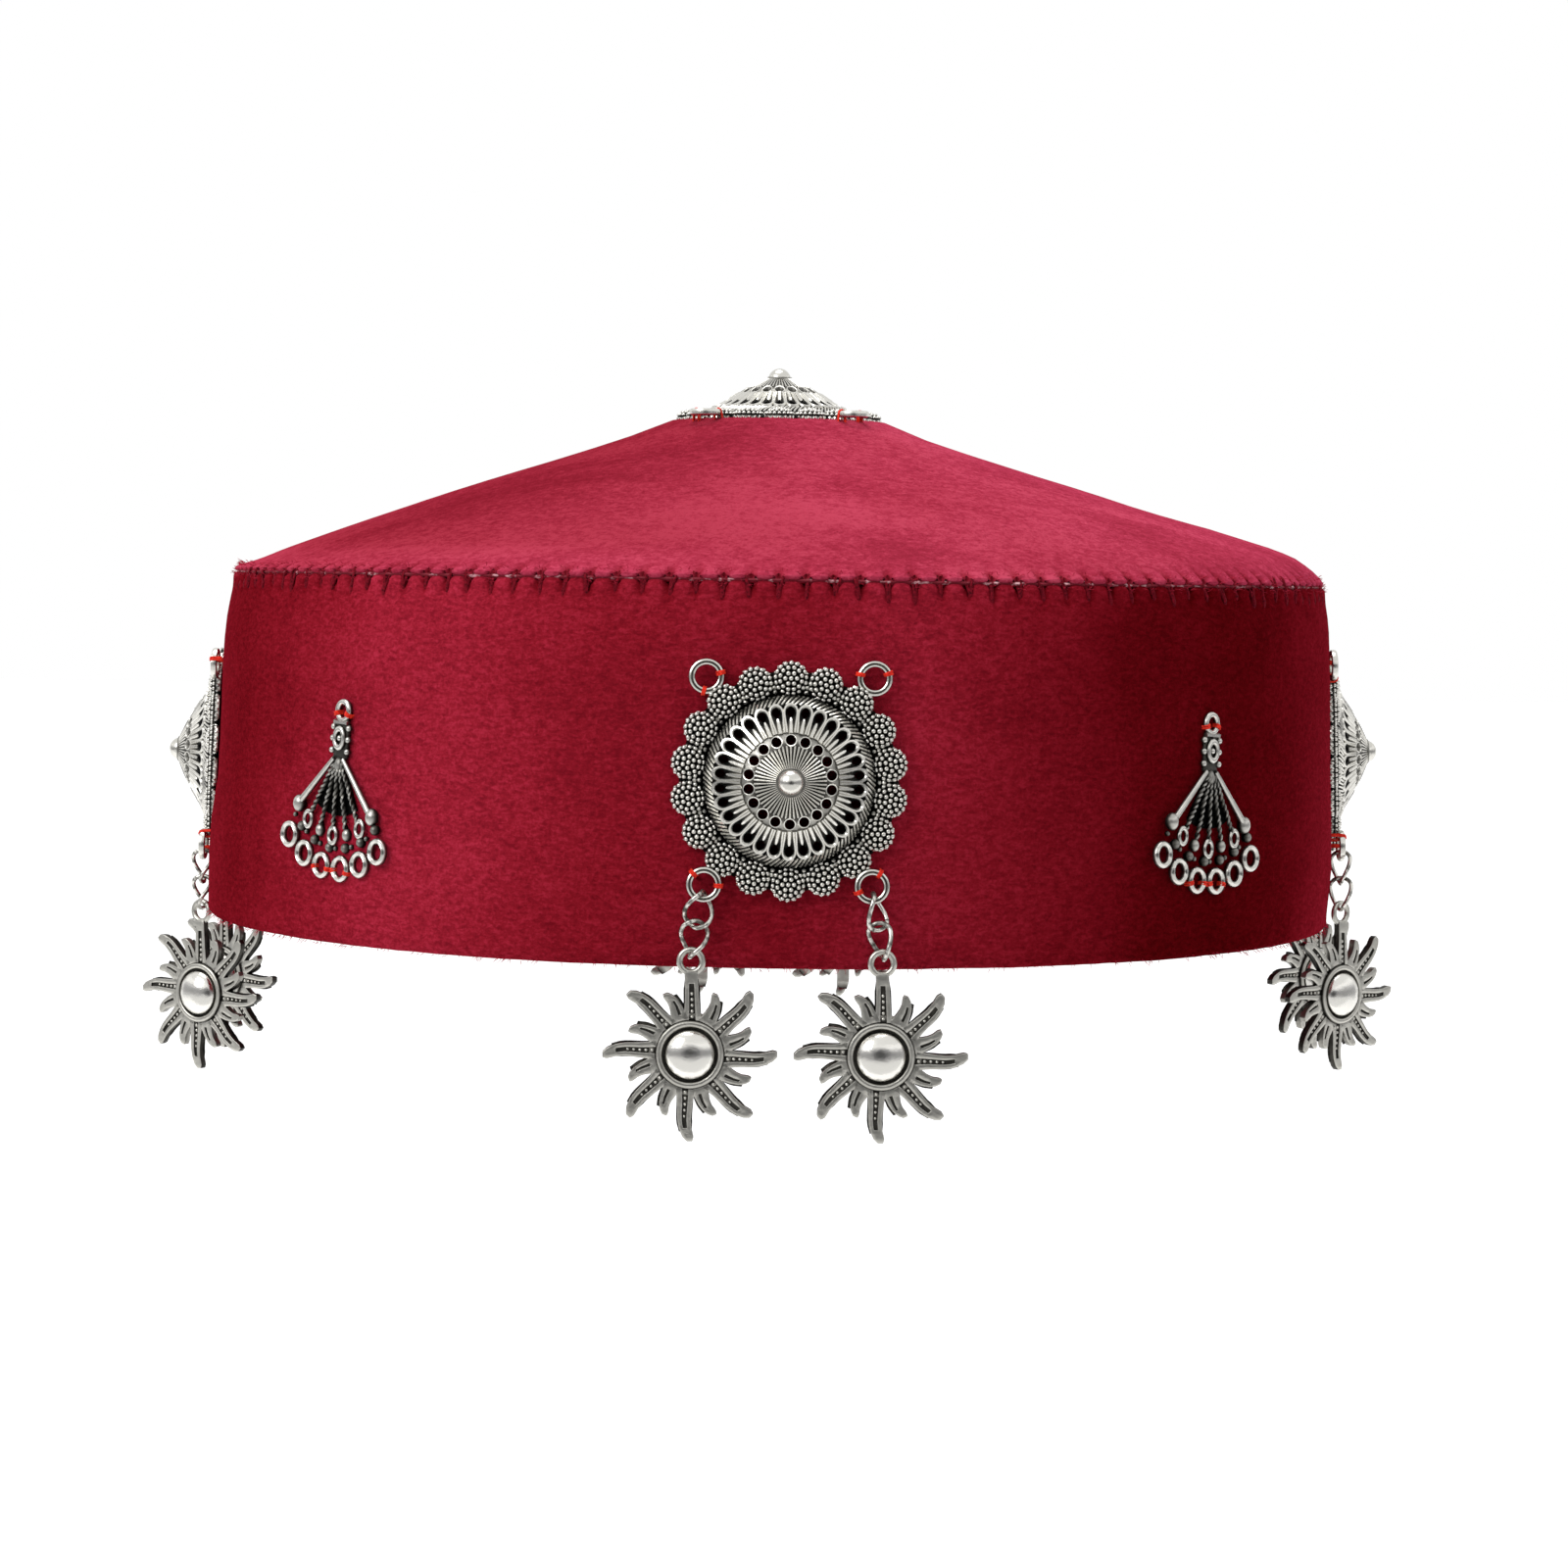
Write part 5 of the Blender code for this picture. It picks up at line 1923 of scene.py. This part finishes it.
@dataclass
class Studio:
    """The camera at the photograph's angle, soft lights and a pale floor, in metres and watts.

    A light has a name, a place, a side length and a power. A row of screen_tones is a squash of
    the distances from the screen's middle, the two distances that its tones run between, and the
    tones.
    """

    lens: float = 85.5
    camera: Triple = (-0.0023, -0.636, 0.0581)
    pitch: float = -3.25
    yaw: float = -0.37
    roll: float = 0.88
    lights: tuple[tuple[str, Triple, float, float], ...] = (
        ("key", (-0.85, -0.8, 0.75), 0.7, 9.0), ("top", (-0.1, 0.1, 1.3), 0.8, 8.0),
    )
    aim: Triple = (0.0, 0.0, 0.04)
    floor_height: float = -0.4
    floor_side: float = 14.0
    floor_front: float = 0.3
    screen_radius: float = 1.4
    screen_ends: Point = (-0.4, 0.85)
    screen_sweep: float = 230.0
    screen_tones: tuple[tuple[Triple, Point, Stops], ...] = (
        ((0.3, 0.3, 3.2), (0.0, 1.5), ((0.0, "7a7a7c"), (1.0, "ffffff"), (0.5, "a0a0a2"))),
        ((1.0, 1.0, 1.15), (0.1, 0.75), ((0.0, "2c2a2c"), (1.0, "ffffff"), (0.5, "a4a4a6"))),
    )
    screen_middle: Point = (0.05, 0.06)

    def build(self) -> None:
        """Sets up the camera, the lights, the world and the floor."""
        self.add_camera()
        for light in self.lights:
            self.add_light(*light)
        self.add_screen()
        self.add_world()
        self.add_floor()

    def add_camera(self) -> None:
        """The camera, by its place, pitch, yaw and roll."""
        data = bpy.data.cameras.new("camera")
        data.lens = self.lens
        data.sensor_width = SENSOR
        camera = bpy.data.objects.new("camera", data)
        tilt = Matrix.Rotation(math.radians(90.0 + self.pitch), 4, "X")
        turn = about_z(self.yaw) @ tilt @ about_z(self.roll)
        camera.matrix_world = Matrix.Translation(self.camera) @ turn
        bpy.context.scene.collection.objects.link(camera)
        bpy.context.scene.camera = camera

    def add_light(self, name: str, place: Triple, side: float, power: float) -> None:
        """A square soft light that looks at the hat.

        Args:
            name: Its name.
            place: Where it stands.
            side: The length of its sides.
            power: Its power in watts.
        """
        data = bpy.data.lights.new(name, "AREA")
        data.size = side
        data.energy = power
        light = bpy.data.objects.new(name, data)
        aim = Vector(self.aim) - Vector(place)
        light.matrix_world = Matrix.Translation(place) @ aim.to_track_quat("-Z", "Y").to_matrix().to_4x4()
        bpy.context.scene.collection.objects.link(light)

    def add_screen(self) -> None:
        """A curved grey screen that only the silver and the light see, darkest behind the camera."""
        screen = turned([(self.screen_radius, end) for end in self.screen_ends], 48, self.screen_sweep)
        moved(screen, about_z(-90.0 - self.screen_sweep / 2.0))
        screen.name = "grey_screen"
        material, tree, shader = new_material("matt_grey_cloth")
        spot = add_node(tree, "ShaderNodeTexCoord", {}, {}).outputs["Object"]
        tones = []
        across, up = self.screen_middle
        for squash, reach, stops in self.screen_tones:
            flat = add_node(tree, "ShaderNodeMapping", {}, {"Vector": spot, "Scale": squash})
            middle = (across * squash[0], -squash[1] * self.screen_radius, up * squash[2])
            away = add_node(
                tree, "ShaderNodeVectorMath", {"operation": "DISTANCE"}, {0: flat.outputs[0], 1: middle},
            )
            share = add_node(
                tree, "ShaderNodeMapRange", {},
                {"Value": away.outputs["Value"], "From Min": reach[0], "From Max": reach[1]},
            )
            ramp = add_node(tree, "ShaderNodeValToRGB", {"stops": stops}, {"Fac": share.outputs[0]})
            tones.append(ramp.outputs[0])
        tone = add_node(tree, "ShaderNodeVectorMath", {"operation": "MULTIPLY"}, {0: tones[0], 1: tones[1]})
        tree.links.new(tone.outputs[0], shader.inputs["Base Color"])
        shader.inputs["Roughness"].default_value = 1.0
        dressed(screen, material)
        screen.visible_camera = False

    def add_world(self) -> None:
        """An even white surround."""
        world = bpy.data.worlds.new("studio")
        world.use_nodes = True
        back = world.node_tree.nodes["Background"]
        back.inputs["Color"].default_value = (1.0, 1.0, 1.0, 1.0)
        back.inputs["Strength"].default_value = 1.0
        bpy.context.scene.world = world

    def add_floor(self) -> None:
        """A plain pale floor below the pendants."""
        middle = (0.0, self.floor_side / 2.0 - self.floor_front, self.floor_height)
        floor = primitive("plane", size=self.floor_side, location=middle)
        floor.name = "floor"
        material, _, shader = new_material("pale_paper")
        shader.inputs["Base Color"].default_value = linear("f4f4f4")
        shader.inputs["Roughness"].default_value = 0.95
        shader.inputs["Emission Color"].default_value = linear("ffffff")
        shader.inputs["Emission Strength"].default_value = 0.3
        dressed(floor, material)


@dataclass
class Hat:
    """The whole hat, built from its sub-assemblies.

    A wall medallion has a name, an azimuth and a height. A chain has its medallion, its side, the
    twist of its links and the turns of the upper and of the lower one. A fan has a name and an
    azimuth. A row of tie_turns is where the two threads of one ring lie on it.
    """

    medallion: Medallion
    sun: Sun
    fan: Fan
    chain: Chain
    skin: VelvetSkin
    thread: SewingThread
    wall_medallions: tuple[tuple[str, float, float], ...] = (
        ("front", 1.2, 27.7), ("right", 90.0, 28.8), ("back", 180.0, 27.7), ("left", 270.0, 26.3),
    )
    chains: tuple[tuple[str, str, float, float, float], ...] = (
        ("front", "left", 125.0, 20.0, -30.0), ("front", "right", 70.0, 60.0, -50.0),
        ("right", "left", 70.0, 30.0, 40.0), ("right", "right", 70.0, 30.0, 40.0),
        ("back", "left", 125.0, 20.0, -30.0), ("back", "right", 125.0, 20.0, -30.0),
        ("left", "left", 110.0, 40.0, 30.0), ("left", "right", 110.0, 40.0, 30.0),
    )
    fans: tuple[tuple[str, float], ...] = (
        ("front_right", 45.0), ("back_right", 135.0), ("back_left", 225.0), ("front_left", 315.0),
    )
    top_lift: float = 1.2
    bend_share: float = 1.25
    tie_turns: tuple[Point, ...] = ((15.0, -100.0), (20.0, 165.0), (135.0, -5.0), (60.0, 205.0))
    cloth_under: float = -1.1
    fan_height: float = 28.9
    fan_turn: float = -4.0
    loop_tie: TiedWire = TiedWire(inner=0.9, outer=1.8, top=0.95, cloth=-0.9)
    loop_tie_turns: Point = (-160.0, -20.0)
    ring_tie: TiedWire = TiedWire(inner=1.25, outer=2.0, top=1.0, cloth=-0.6)
    ring_tie_turns: Point = (-165.0, -15.0)

    def add_medallions(self, silver: Finish, thread: Finish) -> None:
        """The five medallions with their threads."""
        flat = self.medallion.build(silver, 0.0)
        bent = self.medallion.build(silver, self.bend_share * WALL.head_radius)
        place = Matrix.Translation((0.0, 0.0, WALL.top + WALL.seat_gap + self.top_lift))
        put(flat, "medallion_top_cast", place, ["medallion_top"])
        ties = self.tie(0.0, thread)
        put(ties, "medallion_top_ties", place)
        put_away(flat, ties)
        ties = self.tie(self.medallion.ring_sink, thread)
        for name, azimuth, height in self.wall_medallions:
            place = WALL.place(azimuth, height, self.medallion.reach)
            put(bent, f"medallion_{name}_cast", place, [f"medallion_{name}"])
            put(ties, f"medallion_{name}_ties", place)
        put_away(bent, ties)

    def tie(self, sink: float, thread: Finish) -> Piece:
        """The threads that tie a medallion's four rings to the cloth.

        Args:
            sink: How far the upper rings are drawn in.
            thread: The bright thread.

        Returns:
            The template, in the medallion's own frame.
        """
        inner, outer = self.medallion.ring_band
        wraps = []
        for spot, turns in zip(self.medallion.ring_spots(sink), self.tie_turns):
            wire = TiedWire(inner, outer, spot.z + self.medallion.ring_top, self.cloth_under)
            wraps += [self.thread.wrap(spot, turn, wire) for turn in turns]
        return self.thread.build("medallion_ties", wraps, thread)

    def add_chains(self, wire: Finish) -> None:
        """The links under the wall medallions."""
        for wall, side, twist, upper, lower in self.chains:
            azimuth, height = next((a, h) for n, a, h in self.wall_medallions if n == wall)
            place = WALL.place(azimuth, height, self.medallion.reach)
            x, y = self.medallion.ring_places()[2 if side == "left" else 3]
            ring = place @ Vector((x, y, self.medallion.ring_lift))
            link = self.chain.make_link(twist, wire)
            inner, _ = self.medallion.ring_band
            spots = self.chain.places(ring, inner, azimuth, side, (upper, lower))
            for part, spot in zip(("upper", "lower"), spots):
                node = f"link_{wall}_{side}_{part}"
                put(link, f"{node}_wire", spot, [node])
            put_away(link)

    def add_suns(self, cast: Finish, mirror: Finish) -> None:
        """The suns, each where its hinge says."""
        template = self.sun.build(cast, mirror)
        for joint in frame["joints"]:
            side = joint["name"].removesuffix("_swing")
            across = -Vector(joint["axis"])
            up = Vector((0.0, 0.0, 1.0))
            turn = Matrix((across, up, across.cross(up))).transposed().to_4x4()
            place = Matrix.Translation(Vector(joint["pos_m"]) / MM) @ turn
            put(template, f"sun_{side}_cast", place, [f"sun_{side}"], joint["child"])
        put_away(template)

    def add_fans(self, silver: Finish, thread: Finish) -> None:
        """The fan charms, each tied at its loop and at its two middle rings."""
        fan = self.fan
        template = fan.build(silver)
        loop = Vector((0.0, fan.loop_reach, fan.loop_lift))
        wraps = [self.thread.wrap(loop, turn, self.loop_tie) for turn in self.loop_tie_turns]
        for angle in fan.ring_angles()[2:4]:
            ring = fan.below(angle, fan.ring_reach, fan.ring_lift)
            wraps += [self.thread.wrap(ring, turn, self.ring_tie) for turn in self.ring_tie_turns]
        ties = moved(self.thread.build("fan_ties", wraps, thread), fan.stretch())
        for name, azimuth in self.fans:
            place = WALL.place(azimuth, self.fan_height, fan.cup_reach, self.fan_turn)
            put(template, f"fan_{name}_cast", place, [f"fan_{name}"])
            put(ties, f"fan_{name}_ties", place)
        put_away(template, ties)

    def build(self) -> None:
        """Builds every sub-assembly with its finish."""
        band = Velvet("velvet_cut_pile_band", "861c2e", "a0263a", "b8344e", "ff5a78", 0.035).make()
        # The crown's velvet is the band's cloth in paler, pinker colours: painted light where the crown
        # faces the light from above.
        crown = Velvet(
            "velvet_cut_pile_crown_painted_light", "a43650", "ba4462", "d05a78", "ff5a78", 0.03,
            patch_weight=0.4, patch_stretch=(0.3, 0.6, 1.0),
        ).make()
        dark_thread = Yarn("sewing_thread_dark_red", "40050e", "780e1e", specular=0.05).make()
        fibre = Yarn("velvet_pile_fibres", "7c0a1c", "b02a40", specular=0.05).make()
        red_thread = Yarn("sewing_thread_bright_red", "b31208", "f03a22").make()
        # The fused edge's pale flecks are painted glints, highlights on its crushed edge, over its dark
        # red.
        edge = Yarn("fused_edge_painted_glints", "6a0c1e", "cc9ea4", ply=1.4, dark_to=0.56).make()
        silver = CastSilver("silver_plate_antiqued_cast").make()
        fan_silver = CastSilver("silver_plate_antiqued_charm", bright="c6c4be", bright_from=0.85).make()
        sun_silver = CastSilver(
            "silver_plate_antiqued_sun", bright="c0beb6", bright_from=0.85, rough_bright=0.28,
            stain=1.4, dent_bump=0.15,
        ).make()
        mirror = CastSilver("silver_plate_polished", bright="dcdad4").make()
        wire = CastSilver("silver_plate_drawn_wire", bright="d2d0c9").make()
        self.skin.build(band, crown)
        Seam(self.skin).build(dark_thread, edge)
        Fuzz(self.skin).build(fibre)
        self.add_medallions(silver, red_thread)
        self.add_chains(wire)
        self.add_suns(sun_silver, mirror)
        self.add_fans(fan_silver, red_thread)


def main() -> None:
    """Builds the hat and its studio, and reports each piece."""
    logging.basicConfig(level=logging.INFO, format="%(message)s")
    bpy.context.scene.view_settings.view_transform = "Standard"
    Hat(Medallion(), Sun(), Fan(), Chain(), VelvetSkin(), SewingThread()).build()
    Studio().build()


if __name__ == "__main__":
    main()
